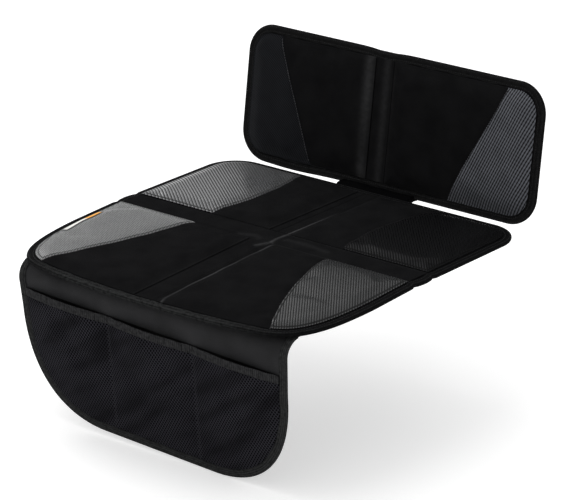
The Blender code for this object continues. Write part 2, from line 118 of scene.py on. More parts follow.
def front_half():
    """The seat's front edge on the right: a bowed front, then a long round corner up to the side."""
    corner_start = (SEAT_SIDE, -SEAT_FRONT + FRONT_CORNER_DEPTH)
    corner_end = (SEAT_SIDE - FRONT_CORNER_REACH, -SEAT_FRONT + FRONT_BOW)
    front = pulled_curve((0, -SEAT_FRONT), (corner_end[0] * 0.35, -SEAT_FRONT),
                         (corner_end[0] * 0.70, -SEAT_FRONT + FRONT_BOW * 0.3), corner_end)
    corner = pulled_curve(
        corner_end, (corner_end[0] + FRONT_CORNER_REACH * 0.75, corner_end[1] + FRONT_BOW * 0.7),
        (SEAT_SIDE - FRONT_CORNER_REACH * 0.05, corner_start[1] - FRONT_CORNER_DEPTH * 0.58), corner_start)
    return np.vstack([front, corner[1:]])


def rear_half():
    """The seat's rear edge on the right, from the side round the corner to the middle."""
    centre = (SEAT_SIDE - REAR_CORNER_RADIUS, SEAT_REAR - REAR_CORNER_RADIUS)
    return np.vstack([round_corner(centre, REAR_CORNER_RADIUS, 0, 90), [(0, SEAT_REAR)]])


def whole(lower, upper, spacing):
    """A panel's outline: its two edges on the right and their mirror image, in even steps."""
    right = np.vstack([lower, upper])
    return evenly(np.vstack([right, (right * (-1, 1))[::-1][1:-1]]), spacing)


def limits(lower, upper, distance):
    """Two functions of across: where an outline's lower and upper edges lie when moved inwards.

    The third value is how far out the side lies.
    """
    outline = whole(lower, upper, OUTLINE_STEP)
    inner = moved_in(outline, distance)
    right = inner[inner[:, 0] >= -1e-9]
    side = right[:, 0].max()
    middle = right[right[:, 0] > side - 1e-6, 1].mean()
    low, high = right[right[:, 1] <= middle], right[right[:, 1] > middle]
    low, high = low[np.argsort(low[:, 0])], high[np.argsort(high[:, 0])]
    return (lambda x: np.interp(np.abs(x), low[:, 0], low[:, 1]),
            lambda x: np.interp(np.abs(x), high[:, 0], high[:, 1]), side)


def spread(count, evenness=0.6):
    """Steps from 0 to 1 that are finer at both ends: e u + (1 - e) (1 - cos(pi u)) / 2."""
    u = np.linspace(0, 1, count)
    return evenness * u + (1 - evenness) * (1 - np.cos(np.pi * u)) / 2


def field(x, low, high, rows):
    """Grid of flat places: columns at each x, each with its rows from low(x) to high(x)."""
    t = spread(rows)[:, None]
    start, end = low(x)[None, :], high(x)[None, :]
    return np.broadcast_to(x[None, :], (rows, len(x))), start + t * (end - start)


def on_seat(across, along, height):
    """Level behind the fold; before it, turned by the pitch. Height is square to the cloth."""
    ahead = np.minimum(along - FOLD_LINE, 0)
    turn = np.where(along < FOLD_LINE, FRONT_PITCH, 0.0)
    y = np.maximum(along, FOLD_LINE) + ahead * np.cos(FRONT_PITCH) - height * np.sin(turn)
    z = ahead * np.sin(FRONT_PITCH) + height * np.cos(turn)
    return np.stack([across + 0 * along, y, z], axis=-1)


def grid_quads(rows, columns, row_loop=False, column_loop=False):
    """Corners of the quads between neighbours on a grid, as (row, column) pairs, before wrapping."""
    row, column = np.arange(rows - (not row_loop)), np.arange(columns - (not column_loop))
    i, j = (grid.ravel() for grid in np.meshgrid(row, column, indexing="ij"))
    return np.stack([i, i, i + 1, i + 1], axis=1), np.stack([j, j + 1, j + 1, j], axis=1)


def put_in_scene(name, data):
    """Adds an object of this name to the scene."""
    made = bpy.data.objects.new(name, data)
    bpy.context.scene.collection.objects.link(made)
    return made


def add_piece(name, places, corners, corner_map, extra=(), facing=None):
    """Adds a mesh of quads with its flat map. Closed forms face outwards, open ones face a direction."""
    places = np.asarray(places, float).reshape(-1, 3)
    a, b, c, d = (places[corners[:, k]] for k in range(4))
    normals = np.cross(c - a, d - b)
    if facing is None:
        outward = np.einsum("ij,ij->", (a + b + c + d) / 4 - places.mean(axis=0), normals)
    else:
        outward = (normals @ np.array(facing, float)).sum()
    if outward < 0:
        corners, corner_map = corners[:, ::-1], corner_map[:, ::-1]
        extra = [face[::-1] for face in extra]
    mesh = bpy.data.meshes.new(name)
    mesh.from_pydata(places.tolist(), [], corners.tolist() + [list(face) for face in extra])
    flat = np.zeros((len(mesh.loops), 2))
    flat[:corners.size] = corner_map.reshape(-1, 2)
    mesh.uv_layers.new(name="flat").data.foreach_set("uv", flat.ravel())
    mesh.shade_smooth()
    return put_in_scene(name, mesh)


def sheet_piece(name, places, flat_map, facing):
    """One layer of cloth over a grid of places."""
    rows, columns = places.shape[:2]
    i, j = grid_quads(rows, columns)
    return add_piece(name, places, i * columns + j, flat_map[i, j], facing=facing)


def slab_piece(name, top, bottom, flat_map):
    """A closed form between two grids: both faces, and a wall round their edge."""
    rows, columns = top.shape[:2]
    i, j = grid_quads(rows, columns)
    count = rows * columns
    upper = i * columns + j
    rim_i = np.concatenate([np.zeros(columns - 1, int), np.arange(rows - 1),
                            np.full(columns - 1, rows - 1), np.arange(rows - 1, 0, -1)])
    rim_j = np.concatenate([np.arange(columns - 1), np.full(rows - 1, columns - 1),
                            np.arange(columns - 1, 0, -1), np.zeros(rows - 1, int)])
    rim = rim_i * columns + rim_j
    after = np.roll(rim, -1)
    walls = np.stack([after, rim, rim + count, after + count], axis=1)
    corners = np.vstack([upper, upper[:, ::-1] + count, walls])
    flat = flat_map.reshape(-1, 2)
    places = np.vstack([top.reshape(-1, 3), bottom.reshape(-1, 3)])
    return add_piece(name, places, corners, flat[corners % count])


def laid_slab(name, laid, across, along, top, bottom):
    """The closed form of a cloth that is laid between two heights, on its own flat grid."""
    flat_map = np.stack([across, along], axis=-1)
    return slab_piece(name, laid(across, along, top), laid(across, along, bottom), flat_map)


def seat_in_place(piece, node, material):
    """The piece takes its node's place and the finish it is given, and rides on the one body."""
    piece.data.materials.append(material)
    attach(piece, "root")
    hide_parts(node)


def add_node(material, kind, inputs=(), **settings):
    """Adds one shader node. Inputs are values, or the outputs of other nodes to link."""
    made = material.node_tree.nodes.new("ShaderNode" + kind)
    for key, value in settings.items():
        setattr(made, key, value)
    for key, value in dict(inputs).items():
        if isinstance(value, bpy.types.NodeSocket):
            material.node_tree.links.new(value, made.inputs[key])
        else:
            made.inputs[key].default_value = value
    return made


def new_shader(name, roughness, specular):
    """A material with one shader."""
    material = bpy.data.materials.new(name)
    material.use_nodes = True
    shader = material.node_tree.nodes["Principled BSDF"]
    shader.inputs["Roughness"].default_value = roughness
    shader.inputs["Specular IOR Level"].default_value = specular
    return material, shader


def new_finish(name, roughness, specular):
    """The same, and the flat map to draw its pattern on. UV is in metres."""
    material, shader = new_shader(name, roughness, specular)
    return material, shader, add_node(material, "UVMap", uv_map="flat").outputs["UV"]


def threads(material, flat, pitch, degrees, wander=0.0):
    """Parallel threads: a sine wave across them, from 0 to 1, with this pitch and direction."""
    turned = add_node(material, "Mapping", {"Vector": flat, "Rotation": (0, 0, math.radians(90 - degrees))})
    return add_node(material, "TexWave", {"Vector": turned.outputs[0], "Scale": math.pi / 10 / pitch,
                                         "Distortion": wander, "Detail": 2.0, "Detail Scale": 1.5},
                    wave_type="BANDS", bands_direction="X").outputs["Fac"]


def combined(material, how, one, two=0.0):
    """One sum on two grey patterns, a pattern and a number, or one pattern alone."""
    return add_node(material, "Math", {0: one, 1: two}, operation=how).outputs[0]


def times(material, one, two):
    """Two patterns multiplied, or one made weaker or stronger by a number."""
    return combined(material, "MULTIPLY", one, two)


def apart(material, one, two):
    """How far two values are apart: |one - two|."""
    return combined(material, "ABSOLUTE", combined(material, "SUBTRACT", one, two))


def remapped(material, value, start, end, level=0.0, level_at_end=1.0):
    """Goes from one level to another, as the value goes from start to end."""
    inputs = {"Value": value, "From Min": start, "From Max": end, "To Min": level, "To Max": level_at_end}
    return add_node(material, "MapRange", inputs).outputs[0]


def crossed(material, flat, pitch, degrees=0, wander=0.0, how="ADD"):
    """Plain weave: two rows of the same threads at right angles, put together."""
    one, two = (threads(material, flat, pitch, degrees + turn, wander) for turn in (0, 90))
    return combined(material, how, one, two)


def blotches(material, flat, size, low, high, detail=3.0):
    """Slow uneven tone: noise of this size in metres, spread between two levels."""
    noise = add_node(material, "TexNoise", {"Vector": flat, "Scale": 1 / size, "Detail": detail})
    return remapped(material, noise.outputs["Fac"], 0.3, 0.7, low, high)


def tone_along(material, axis, start, end, level, level_at_end):
    """A level that goes from one value to another between two places along one axis, to make a colour darker
    or lighter there.
    """
    place = add_node(material, "SeparateXYZ", {0: add_node(material, "TexCoord").outputs["Object"]})
    return remapped(material, place.outputs[axis], start, end, level, level_at_end)


def mixed(material, share, one, two):
    """A colour that goes from one to another, as a pattern goes from 0 to 1."""
    return add_node(material, "Mix", {0: share, 6: one, 7: two}, data_type="RGBA").outputs[2]


def coloured(material, shader, pattern, dark, light):
    """The cloth's colour: from the dark one to the light one, as the pattern goes from 0 to 1."""
    colour = mixed(material, pattern, (*dark, 1), (*light, 1))
    material.node_tree.links.new(colour, shader.inputs["Base Color"])
    return colour


def raised(material, shader, pattern, depth, before=None):
    """Relief: the pattern's 0 to 1 stands for this many metres of height."""
    inputs = {"Height": pattern, "Distance": depth, "Strength": 1.0}
    if before is not None:
        inputs["Normal"] = before
    relief = add_node(material, "Bump", inputs).outputs[0]
    material.node_tree.links.new(relief, shader.inputs["Normal"])
    return relief


def backing_cloth(name):
    """Plain woven lining: two crossed threads of 1.6 mm."""
    material, shader, flat = new_finish(name, 0.9, 0.05)
    weave = crossed(material, flat, 0.0016, wander=0.4)
    tone = times(material, weave, blotches(material, flat, 0.04, 0.35, 0.55))
    coloured(material, shader, tone, (0.004, 0.004, 0.005), BACKING_COLOUR)
    raised(material, shader, weave, 0.0002)
    return material


def line_panel(name, node, lower, upper, rows, laid, look):
    """A panel's lining, which reaches into the fold of its tape. Gives back the piece and its flat grid."""
    low, high, side = limits(lower, upper, TAPE_STACK)
    across, along = field(side * (2 * spread(90, 0.4) - 1), low, high, rows)
    piece = laid_slab(name, laid, across, along, LINING * 0.9, 0.0)
    seat_in_place(piece, node, backing_cloth(look))
    return piece, across, along


seat_lining = line_panel("seat_lining", "seat_base_cloth", front_half(), rear_half(), 90, on_seat,
                         "seat_backing")

# Quilted cells of the seat panel
# Four pads of cover cloth over thin foam, sewn down round their edges and along each insert's seam.
# The cover is blown up a little as cloth, between its seams, and then laid on the seat.

CENTRE_BAND_WIDTH = 0.034
TAPE_WIDTH = 0.011
CLEARANCE = 0.0003
PAD_FLOOR = LINING + CLEARANCE
PAD_HEIGHT = 0.0070
PAD_EDGE = 0.0026
PAD_SHOULDER = 0.022
STITCH_IN = 0.0022
STITCH_DEPTH = 0.0006
RIDGE_RISE = 0.0014
RIDGE_IN = 0.0090
RIDGE_REACH = 0.0017
RIDGE_END = 0.016
SEAM_DEPTH = 0.0013
SEAM_REACH = 0.0018
INSERT_RECESS = 0.0007
INSERT_LIFT = 0.0010
INSERT_TUCK = 0.0012
PAD_COLUMNS = 88
PAD_ROWS = 72
INSERT_COLUMNS = 60
INSERT_ROWS = 64
LINE_STEP = 0.0008
COVER_RISE = 0.0012
COVER_FRAMES = 20
COVER_CLOTH = {"quality": 4, "mass": 0.25, "tension_stiffness": 30, "compression_stiffness": 15,
               "shear_stiffness": 10, "bending_stiffness": 0.3, "use_pressure": True,
               "uniform_pressure_force": 4.0, "shrink_min": -0.03, "vertex_group_mass": "sewn"}
COVER_SMOOTHING = 8
COVER_ROOM_REACH = 0.012
SEWN_AT_SEAM = 0.0016
SEWN_AT_RIM = 0.0035
REAR_INSERT_AT_BAND = {"right": 0.140, "left": 0.122}
REAR_INSERT_PULL = 0.150
REAR_INSERT_AT_EDGE = 0.124
FRONT_INSERT_AT_BAND = 0.137
FRONT_INSERT_PULL_NEAR_BAND = 0.130
FRONT_INSERT_PULL_NEAR_EDGE = 0.096
FRONT_INSERT_AT_EDGE = 0.045
QUILT_DARK = (0.0030, 0.0030, 0.0033)
QUILT_LIGHT = (0.0115, 0.0115, 0.0120)
# Colour of the painted highlight laid along ridges, folds and band edges
QUILT_PAINTED_HIGHLIGHT = (0.075, 0.075, 0.077)
STITCHED_IN = 0.0034


def gap_to(line, across, along):
    """The shortest distance from each flat place to a line's points."""
    places = np.stack([across.ravel(), along.ravel()], axis=1)
    gap = np.full(len(places), np.inf)
    for start in range(0, len(line), 64):
        part = line[start:start + 64]
        gap = np.minimum(gap, np.hypot(places[:, :1] - part[:, 0], places[:, 1:] - part[:, 1]).min(axis=1))
    return gap.reshape(across.shape)


def across_at(along, line):
    """How far across a line lies, at these places along it."""
    order = np.argsort(line[:, 1])
    return np.interp(along, line[order, 1], line[order, 0])


def rim_of(across, along):
    """The edge of a flat grid as one closed line."""
    sides = [(across[0], along[0]), (across[1:, -1], along[1:, -1]),
             (across[-1, -2::-1], along[-1, -2::-1]), (across[-2:0:-1, 0], along[-2:0:-1, 0])]
    return np.concatenate([np.stack(side, axis=1) for side in sides])


def bell(offset, reach):
    """exp(-(offset / reach)^2): 1 on a line, and about 0 at twice the reach."""
    return np.exp(-(offset / reach) ** 2)


def fading(along):
    """1 along most of a ridge, falling to 0 over its last stretch at the far end."""
    return np.clip((along.max() - along) / RIDGE_END, 0, 1)


def pad_height(across, along, seam, ridge):
    """Edge + rise * sin(pi/2 * d / shoulder) from the rim, with its stitch line, ridge, seam and recess.

    The stitch line and the seam are bell-shaped grooves, the pinched ridge beside the centre band is a
    bell too and dies out at its rear end, and the ground outside the seam lies lower by the insert's
    thickness.
    """
    gap = gap_to(evenly(rim_of(across, along), LINE_STEP), across, along)
    shoulder = np.sin(math.pi / 2 * np.clip(gap / PAD_SHOULDER, 0, 1))
    stitched = STITCH_DEPTH * bell(gap - STITCH_IN, 0.0009)
    beside_band = bell(across - across[:, :1] - RIDGE_IN, RIDGE_REACH)
    pinched = RIDGE_RISE * ridge * fading(along) * beside_band * shoulder ** 0.5
    seam_gap = gap_to(evenly(seam, LINE_STEP, loop=False), across, along)
    groove = SEAM_DEPTH * bell(seam_gap, SEAM_REACH) * shoulder
    outside = np.clip((across - across_at(along, seam)) / 0.0015, 0, 1)
    top = PAD_EDGE + (PAD_HEIGHT - PAD_EDGE) * shoulder
    return top - stitched + pinched - groove - INSERT_RECESS * outside


def blown_cover(across, along, height, seam):
    """The cover's height after some frames as cloth: pinned at rim and seam, pushed out, and capped.

    The rise is room * tanh(lift / cap), with the lift smoothed and the room growing from 0 at the rim.
    """
    rows, columns = across.shape
    start = np.stack([across, along, height], axis=-1)
    cover = sheet_piece("cover", start, start[..., :2], (0, 0, 1))
    from_rim = gap_to(rim_of(across, along), across, along)
    from_seam = gap_to(evenly(seam, LINE_STEP, loop=False), across, along)
    held = (from_seam < SEWN_AT_SEAM) | (from_rim < SEWN_AT_RIM)
    held[[0, -1], :] = True
    held[:, [0, -1]] = True
    pins = cover.vertex_groups.new(name="sewn")
    pins.add(np.flatnonzero(held.ravel()).tolist(), 1.0, "REPLACE")
    cloth = cover.modifiers.new("cloth", "CLOTH")
    for setting, value in COVER_CLOTH.items():
        setattr(cloth.settings, setting, value)
    cloth.settings.effector_weights.gravity = 0
    cloth.point_cache.frame_start = 1
    cloth.point_cache.frame_end = COVER_FRAMES
    cloth.collision_settings.use_collision = False
    scene = bpy.context.scene
    for number in range(1, COVER_FRAMES + 1):
        scene.frame_set(number)
    blown = cover.evaluated_get(bpy.context.evaluated_depsgraph_get())
    moved = np.empty(rows * columns * 3)
    blown.data.vertices.foreach_get("co", moved)
    bpy.data.objects.remove(cover, do_unlink=True)
    scene.frame_set(1)
    lift = moved.reshape(rows, columns, 3)[..., 2] - height
    for _ in range(COVER_SMOOTHING):
        lift[1:-1, 1:-1] = (lift[:-2, 1:-1] + lift[2:, 1:-1] + lift[1:-1, :-2] + lift[1:-1, 2:]) / 4
    room = COVER_RISE * (1 - np.exp(-(from_rim / COVER_ROOM_REACH)))
    return height + room * np.tanh(lift / COVER_RISE)


def quilt_cloth(name):
    """Matte woven cover: fine crossed threads of 0.9 mm, with a painted highlight, paler, along its ridges
    and folds.
    """
    material, shader, flat = new_finish(name, 0.9, 0.006)
    weave = times(material, crossed(material, flat, 0.0009, wander=0.6), 0.5)
    tone = times(material, weave, blotches(material, flat, 0.030, 0.65, 1.35))
    # Painted highlight: where a piece keeps this attribute, the colour is painted paler, for light caught by
    # ridges and folds.
    painted_highlight = add_node(material, "Attribute", attribute_name="painted_highlight").outputs["Fac"]
    uneven = times(material, painted_highlight, blotches(material, flat, 0.006, 0.7, 1.2))
    plain = coloured(material, shader, tone, QUILT_DARK, QUILT_LIGHT)
    paler = mixed(material, uneven, plain, (*QUILT_PAINTED_HIGHLIGHT, 1))
    material.node_tree.links.new(paler, shader.inputs["Base Color"])
    raised(material, shader, weave, 0.00012)
    return material


def keep(piece, name, amount):
    """Keeps a number at each place of a piece's upper face, for its finish to read."""
    values = np.zeros(len(piece.data.vertices))
    values[:amount.size] = np.clip(amount, 0, 1).ravel()
    piece.data.attributes.new(name, "FLOAT", "POINT").data.foreach_set("value", values)


def ribbed_insert(name, ribs, crossing, dark, light, depth, gloss, smooth, stitched,
                  fade=(0, 0.0, 1.0, 1.0, 1.0)):
    """Semi-gloss vinyl with slanting ribs and finer ribs across them: smooth on top, rough between.

    Ribs are (degrees, pitch), and the crossing ones (degrees, pitch, share). Where it is stitched, a dark
    sunk line runs round it, 3 mm inside its rim. Its colour, gloss and relief can go darker or lighter
    along one axis.
    """
    material, shader, flat = new_finish(name, 0.40, gloss)
    tops = remapped(material, threads(material, flat, ribs[1], ribs[0], 0.35), 0.2, 0.8)
    finer = times(material, threads(material, flat, crossing[1], crossing[0], 0.35), crossing[2])
    relief = times(material, combined(material, "ADD", tops, finer), 1 / (1 + crossing[2]))
    from_rim = add_node(material, "Attribute", attribute_name="from_rim").outputs["Fac"]
    clear = remapped(material, apart(material, from_rim, STITCHED_IN), 0.0006, 0.0016, 1 - stitched)
    # The fade makes the colour, roughness and relief darker or lighter along one axis.
    level = times(material, times(material, relief, clear), tone_along(material, *fade))
    tone = times(material, level, blotches(material, flat, 0.02, 0.85, 1.15))
    coloured(material, shader, tone, dark, light)
    rough = remapped(material, level, 0.25, 0.75, 0.85, smooth)
    material.node_tree.links.new(rough, shader.inputs["Roughness"])
    raised(material, shader, level, depth)
    return material


def rear_seam(width_at_band):
    """The seam of a rear insert on the right side, beside the cross band to the rear edge."""
    return pulled_curve(
        (SEAT_SIDE - width_at_band, 0), (SEAT_SIDE - REAR_INSERT_PULL, SEAT_REAR * 0.35),
        (SEAT_SIDE - REAR_INSERT_PULL, SEAT_REAR * 0.72), (SEAT_SIDE - REAR_INSERT_AT_EDGE, SEAT_REAR))


def front_seam():
    """The seam of a front insert on the right side, from the front edge to the cross band."""
    return pulled_curve((SEAT_SIDE - FRONT_INSERT_AT_EDGE, -SEAT_FRONT),
                        (SEAT_SIDE - FRONT_INSERT_PULL_NEAR_EDGE, -SEAT_FRONT * 0.66),
                        (SEAT_SIDE - FRONT_INSERT_PULL_NEAR_BAND, -SEAT_FRONT * 0.32),
                        (SEAT_SIDE - FRONT_INSERT_AT_BAND, 0))


def sampled(grid_x, low, high, heights, across, along):
    """Height of a pad's cover at flat places, between the four grid points round each."""
    rows = heights.shape[0]
    column = np.clip(np.interp(across, grid_x, np.arange(len(grid_x))), 0, len(grid_x) - 1.000001)
    share = np.clip((along - low(across)) / (high(across) - low(across)), 0, 1)
    row = np.clip(np.interp(share, spread(rows), np.arange(rows)), 0, rows - 1.000001)
    i, j = row.astype(int), column.astype(int)
    a, b = row - i, column - j
    return ((1 - a) * (1 - b) * heights[i, j] + a * (1 - b) * heights[i + 1, j]
            + (1 - a) * b * heights[i, j + 1] + a * b * heights[i + 1, j + 1])


def quilted(names, nodes, laid, inner, outer, low, high, seam, side, looks, ridge, painted_highlight):
    """A pad between an inner and an outer side, and the ribbed insert that covers it outside its seam.

    The grid is drawn for the right-hand side; side is -1 for its mirror image on the left. The highlight
    argument is the place, width and strength of the painted highlight, a paler line beside the inner side.
    It gives back the height of the pad's cover as a function of the flat place.
    """
    grid_x = inner + (outer - inner) * spread(PAD_COLUMNS, 0.5)
    across, along = field(grid_x, low, high, PAD_ROWS)
    height = blown_cover(across, along, pad_height(across, along, seam, ridge), seam)
    pad = laid_slab(names[0], laid, side * across, along, PAD_FLOOR + height, PAD_FLOOR)
    # Painted highlight: a paler line beside the pad's inner side, where its edge would catch the light.
    paler = painted_highlight[2] * bell(across - inner - painted_highlight[0], painted_highlight[1]) * (0.75 + 0.25 * np.sin(along * 45 + 2))
    keep(pad, "painted_highlight", paler * fading(along) if ridge else paler)
    rounding = pad.modifiers.new("rounding", "SUBSURF")
    rounding.levels = 1
    rounding.render_levels = 1
    seat_in_place(pad, nodes[0], looks[0])

    share = spread(INSERT_ROWS)[:, None]
    start = np.full_like(share, inner)
    for _ in range(12):
        start = across_at(low(start) + share * (high(start) - low(start)), seam)
    insert_x = start + spread(INSERT_COLUMNS)[None, :] * (outer - start)
    insert_s = low(insert_x) + share * (high(insert_x) - low(insert_x))
    tucked = INSERT_LIFT - INSERT_TUCK * bell(insert_x - start, 0.0010)
    surface = PAD_FLOOR + sampled(grid_x, low, high, height, insert_x, insert_s) + tucked
    facing = (laid(start[:1], share[:1], 1.0) - laid(start[:1], share[:1], 0.0)).ravel()
    insert = sheet_piece(names[1], laid(side * insert_x, insert_s, surface),
                         np.stack([side * insert_x, insert_s], axis=-1), facing)
    keep(insert, "from_rim", gap_to(evenly(rim_of(insert_x, insert_s), LINE_STEP), insert_x, insert_s))
    seat_in_place(insert, nodes[1], looks[1])
    return lambda x, s: sampled(grid_x, low, high, height, x, s)


cell_front_at, cell_rear_at, cell_side = limits(front_half(), rear_half(), TAPE_WIDTH + CLEARANCE)
band_rear = lambda x: np.full_like(x, CROSS_BAND_WIDTH / 2)
band_front = lambda x: np.full_like(x, FOLD_LINE)


def cell_of(place):
    """A seat cell by its place: side, 1 or -1, its insert's seam, and its lower and upper limits."""
    end, hand = place.split("_")
    side = 1 if hand == "right" else -1
    if end == "rear":
        return side, rear_seam(REAR_INSERT_AT_BAND[hand]), band_rear, cell_rear_at
    return side, front_seam(), cell_front_at, band_front


VINYL_DARK = (0.0005, 0.0005, 0.0006)
# Painted reflection and shade: the inserts' light tones and gloss are set one by one, palest and glossiest
# on the left, where the vinyl mirrors the bright studio, and darkest on the rear right, which mirrors the
# dark back panel; the rear left one is also painted darker towards the rear.
vinyl = {
    "rear_right": ribbed_insert("insert_rear_right", (131, 0.0032), (41, 0.0016, 0.0), VINYL_DARK,
                                (0.0036, 0.0036, 0.0043), 0.00016, 0.070, 0.25, 0.8),
    "rear_left": ribbed_insert("insert_rear_left", (141, 0.0038), (51, 0.0016, 0.0), VINYL_DARK,
                               (0.064, 0.066, 0.071), 0.00022, 0.74, 0.19, 0.7, (1, 0.03, 0.20, 1.30, 0.42)),
    "front_right": ribbed_insert("insert_front_right", (126, 0.0031), (36, 0.0016, 0.0), VINYL_DARK,
                                 (0.022, 0.023, 0.024), 0.00020, 0.26, 0.24, 0.9),
    "front_left": ribbed_insert("insert_front_left", (108, 0.0030), (156, 0.0028, 0.6), VINYL_DARK,
                                (0.135, 0.137, 0.139), 0.00014, 0.74, 0.19, 0.7),
}
cover_at = {}
for place, finish in vinyl.items():
    side, seam, low, high = cell_of(place)
    # Painted highlight: a strong paler line along the front right pad's ridge, and a faint one beside each
    # other pad's inner side.
    ridge, painted_highlight = (1.0, (RIDGE_IN, 0.0013, 0.9)) if place == "front_right" else (0.0, (0.0, 0.004, 0.06))
    cover_at[place] = quilted(
        ("quilted_pad_" + place, "insert_" + place), ("seat_pad_" + place, "seat_insert_" + place), on_seat,
        CENTRE_BAND_WIDTH / 2, cell_side, low, high, seam, side, (quilt_cloth("quilt_" + place), finish),
        ridge, painted_highlight)

# Fold bands of the seat panel
# Flat strips of the cover cloth between the pads, stitched down along both edges, where the mat folds.
# One runs across the whole panel, and two run along its middle.

BAND_THICKNESS = 0.0022
BAND_STITCH_IN = 0.0030
BAND_GROOVE = 0.0006
FOLD_RISE = 0.0009
REAR_RIDGE_AT = 0.0140
REAR_RIDGE_RISE = 0.0012
REAR_CREASE_AT = -0.0040
REAR_CREASE_DEPTH = 0.0010
# Each fold: the flat places along it, its width, and how strong it is
CROSSING_FOLDS = (
    (((0.014, -0.014), (0.0125, -0.004), (0.013, 0.006), (0.014, 0.020)), 0.0020, 0.75),
    (((0.006, -0.034), (0.011, -0.025), (0.0145, -0.017)), 0.0034, 0.50),
    (((0.026, 0.002), (0.050, 0.004), (0.090, -0.001)), 0.0050, 0.14),
    (((-0.036, -0.017), (-0.022, -0.011)), 0.0050, 0.16),
    (((-0.016, -0.008), (-0.006, -0.014)), 0.0045, 0.12),
)


def band_height(offset, half_width, along):
    """Level, less a groove along each stitch line, and turned down at its edges, with slow waves."""
    groove = bell(np.abs(offset) - half_width + BAND_STITCH_IN, 0.0010)
    edge = bell(np.abs(offset) - half_width, 0.0008)
    waves = 0.00012 * np.sin(along * 210 + 2 * np.sin(along * 50)) * np.cos(offset * 90)
    return PAD_FLOOR + BAND_THICKNESS + waves - BAND_GROOVE * groove - 0.0012 * edge


def crossing_folds(across, along):
    """Soft folds where the bands cross: strength * exp(-(d / width)^2) from each short line, added up."""
    folds = np.zeros(across.shape)
    for points, width, strength in CROSSING_FOLDS:
        line = evenly(np.array(points, float), 0.001, loop=False)
        folds += strength * bell(gap_to(line, across, along), width)
    return folds


def fold_band(name, node, across, along, height, laid, look, painted_highlight):
    """One strip of cloth, closed, from the lining up to its height."""
    band = laid_slab(name, laid, across, along, height, PAD_FLOOR)
    keep(band, "painted_highlight", painted_highlight)
    seat_in_place(band, node, look)


cross_half = CROSS_BAND_WIDTH / 2 - CLEARANCE
cross_across, cross_along = np.meshgrid(cell_side * np.linspace(-1, 1, 301),
                                        cross_half * np.linspace(-1, 1, 61))
cross_folds = crossing_folds(cross_across, cross_along)
# Painted highlight: the folds where the bands cross, and a faint line just inside the cross band's edges,
# fading out to the left, are painted paler.
cross_edge_highlight = bell(np.abs(cross_along) - cross_half + 0.0012, 0.0010)
cross_edge_highlight = cross_edge_highlight * bell(np.maximum(0.03 - cross_across, 0), 0.03)
fold_band("cross_band", "seat_cross_band", cross_across, cross_along,
          band_height(cross_along, cross_half, cross_across) + FOLD_RISE * cross_folds, on_seat,
          quilt_cloth("band_cloth_cross"), 0.60 * cross_folds + 0.10 * cross_edge_highlight)
centre_half = CENTRE_BAND_WIDTH / 2 - CLEARANCE
centre_x = np.linspace(-centre_half, centre_half, 61)
for end, low, high in (("rear", band_rear, cell_rear_at), ("front", cell_front_at, band_front)):
    centre_across, centre_along = field(centre_x, low, high, 201)
    centre_folds = crossing_folds(centre_across, centre_along)
    level = band_height(centre_across, centre_half, centre_along) + FOLD_RISE * centre_folds
    # Painted highlight: the folds where the bands cross are painted paler, and on the rear band its ridge
    # too.
    painted_highlight = 0.60 * centre_folds
    if end == "rear":
        ridge = bell(centre_across - REAR_RIDGE_AT, 0.0014)
        fade = np.clip(1.3 - centre_along / 0.10, 0, 1)
        crease = bell(centre_across - REAR_CREASE_AT, 0.0011)
        level = level + REAR_RIDGE_RISE * ridge * fade - REAR_CREASE_DEPTH * crease
        painted_highlight = painted_highlight + 0.75 * ridge * fade
    fold_band("centre_band_" + end, "seat_centre_band_" + end, centre_across, centre_along, level, on_seat,
              quilt_cloth("band_cloth_" + end), painted_highlight)

# Edge tape of the seat panel
# Ribbed polyester tape, 11 mm wide on each face, folded round the panel's edge and stitched through.
# Two rows of stitches hold it, and it bulges where the cross band runs under it.

TAPE_DARK = (0.0030, 0.0030, 0.0033)
TAPE_LIGHT = (0.056, 0.057, 0.057)
SEAT_TAPE_LIGHT = (0.032, 0.033, 0.033)
# Painted shade: the seat's tape is painted darker towards both sides and behind its front edge, so only the
# front middle keeps its full tone.
SEAT_TAPE_PAINTED_SHADES = ((0, 0.10, 0.20, 1.0, 0.15), (0, -0.21, -0.11, 0.15, 1.0), (1, -0.22, -0.12, 1.0, 0.15))
FOLD_BULGE = 0.0016
FOLD_NOTCH = 0.0022
STITCH_PITCH = 0.0034
STITCH_LENGTH = 0.0026
STITCH_THICKNESS = 0.00045
STITCH_ROWS = (0.0026, 0.0082)
STITCH_DIP = 0.0004
STITCH_SUNK = 0.0001
SLOT_PLAY = 0.0001


def tape_section(cloth_low, cloth_high, stack):
    """Closed section of folded tape, as (inwards, height): round outside, flat faces, a slot inside."""
    middle, half = (cloth_low + cloth_high) / 2, (cloth_high - cloth_low) / 2 + stack
    turn = np.linspace(-math.pi / 2, math.pi / 2, 9)
    nose = np.stack([half * 0.8 * (1 - np.cos(turn)), middle + half * np.sin(turn)], axis=1)
    inward = np.linspace(half, TAPE_WIDTH, 13)[1:]
    dip = STITCH_DIP * sum(bell(inward - row, 0.0008) for row in STITCH_ROWS)
    upper = np.stack([inward, middle + half - dip], axis=1)
    lower = np.stack([inward, middle - half + dip], axis=1)
    inner_upper = np.stack([inward[::-1], np.full(len(inward), cloth_high + SLOT_PLAY)], axis=1)
    inner_lower = np.stack([inward, np.full(len(inward), cloth_low - SLOT_PLAY)], axis=1)
    return np.vstack([nose, upper, inner_upper, inner_lower, lower[::-1]])


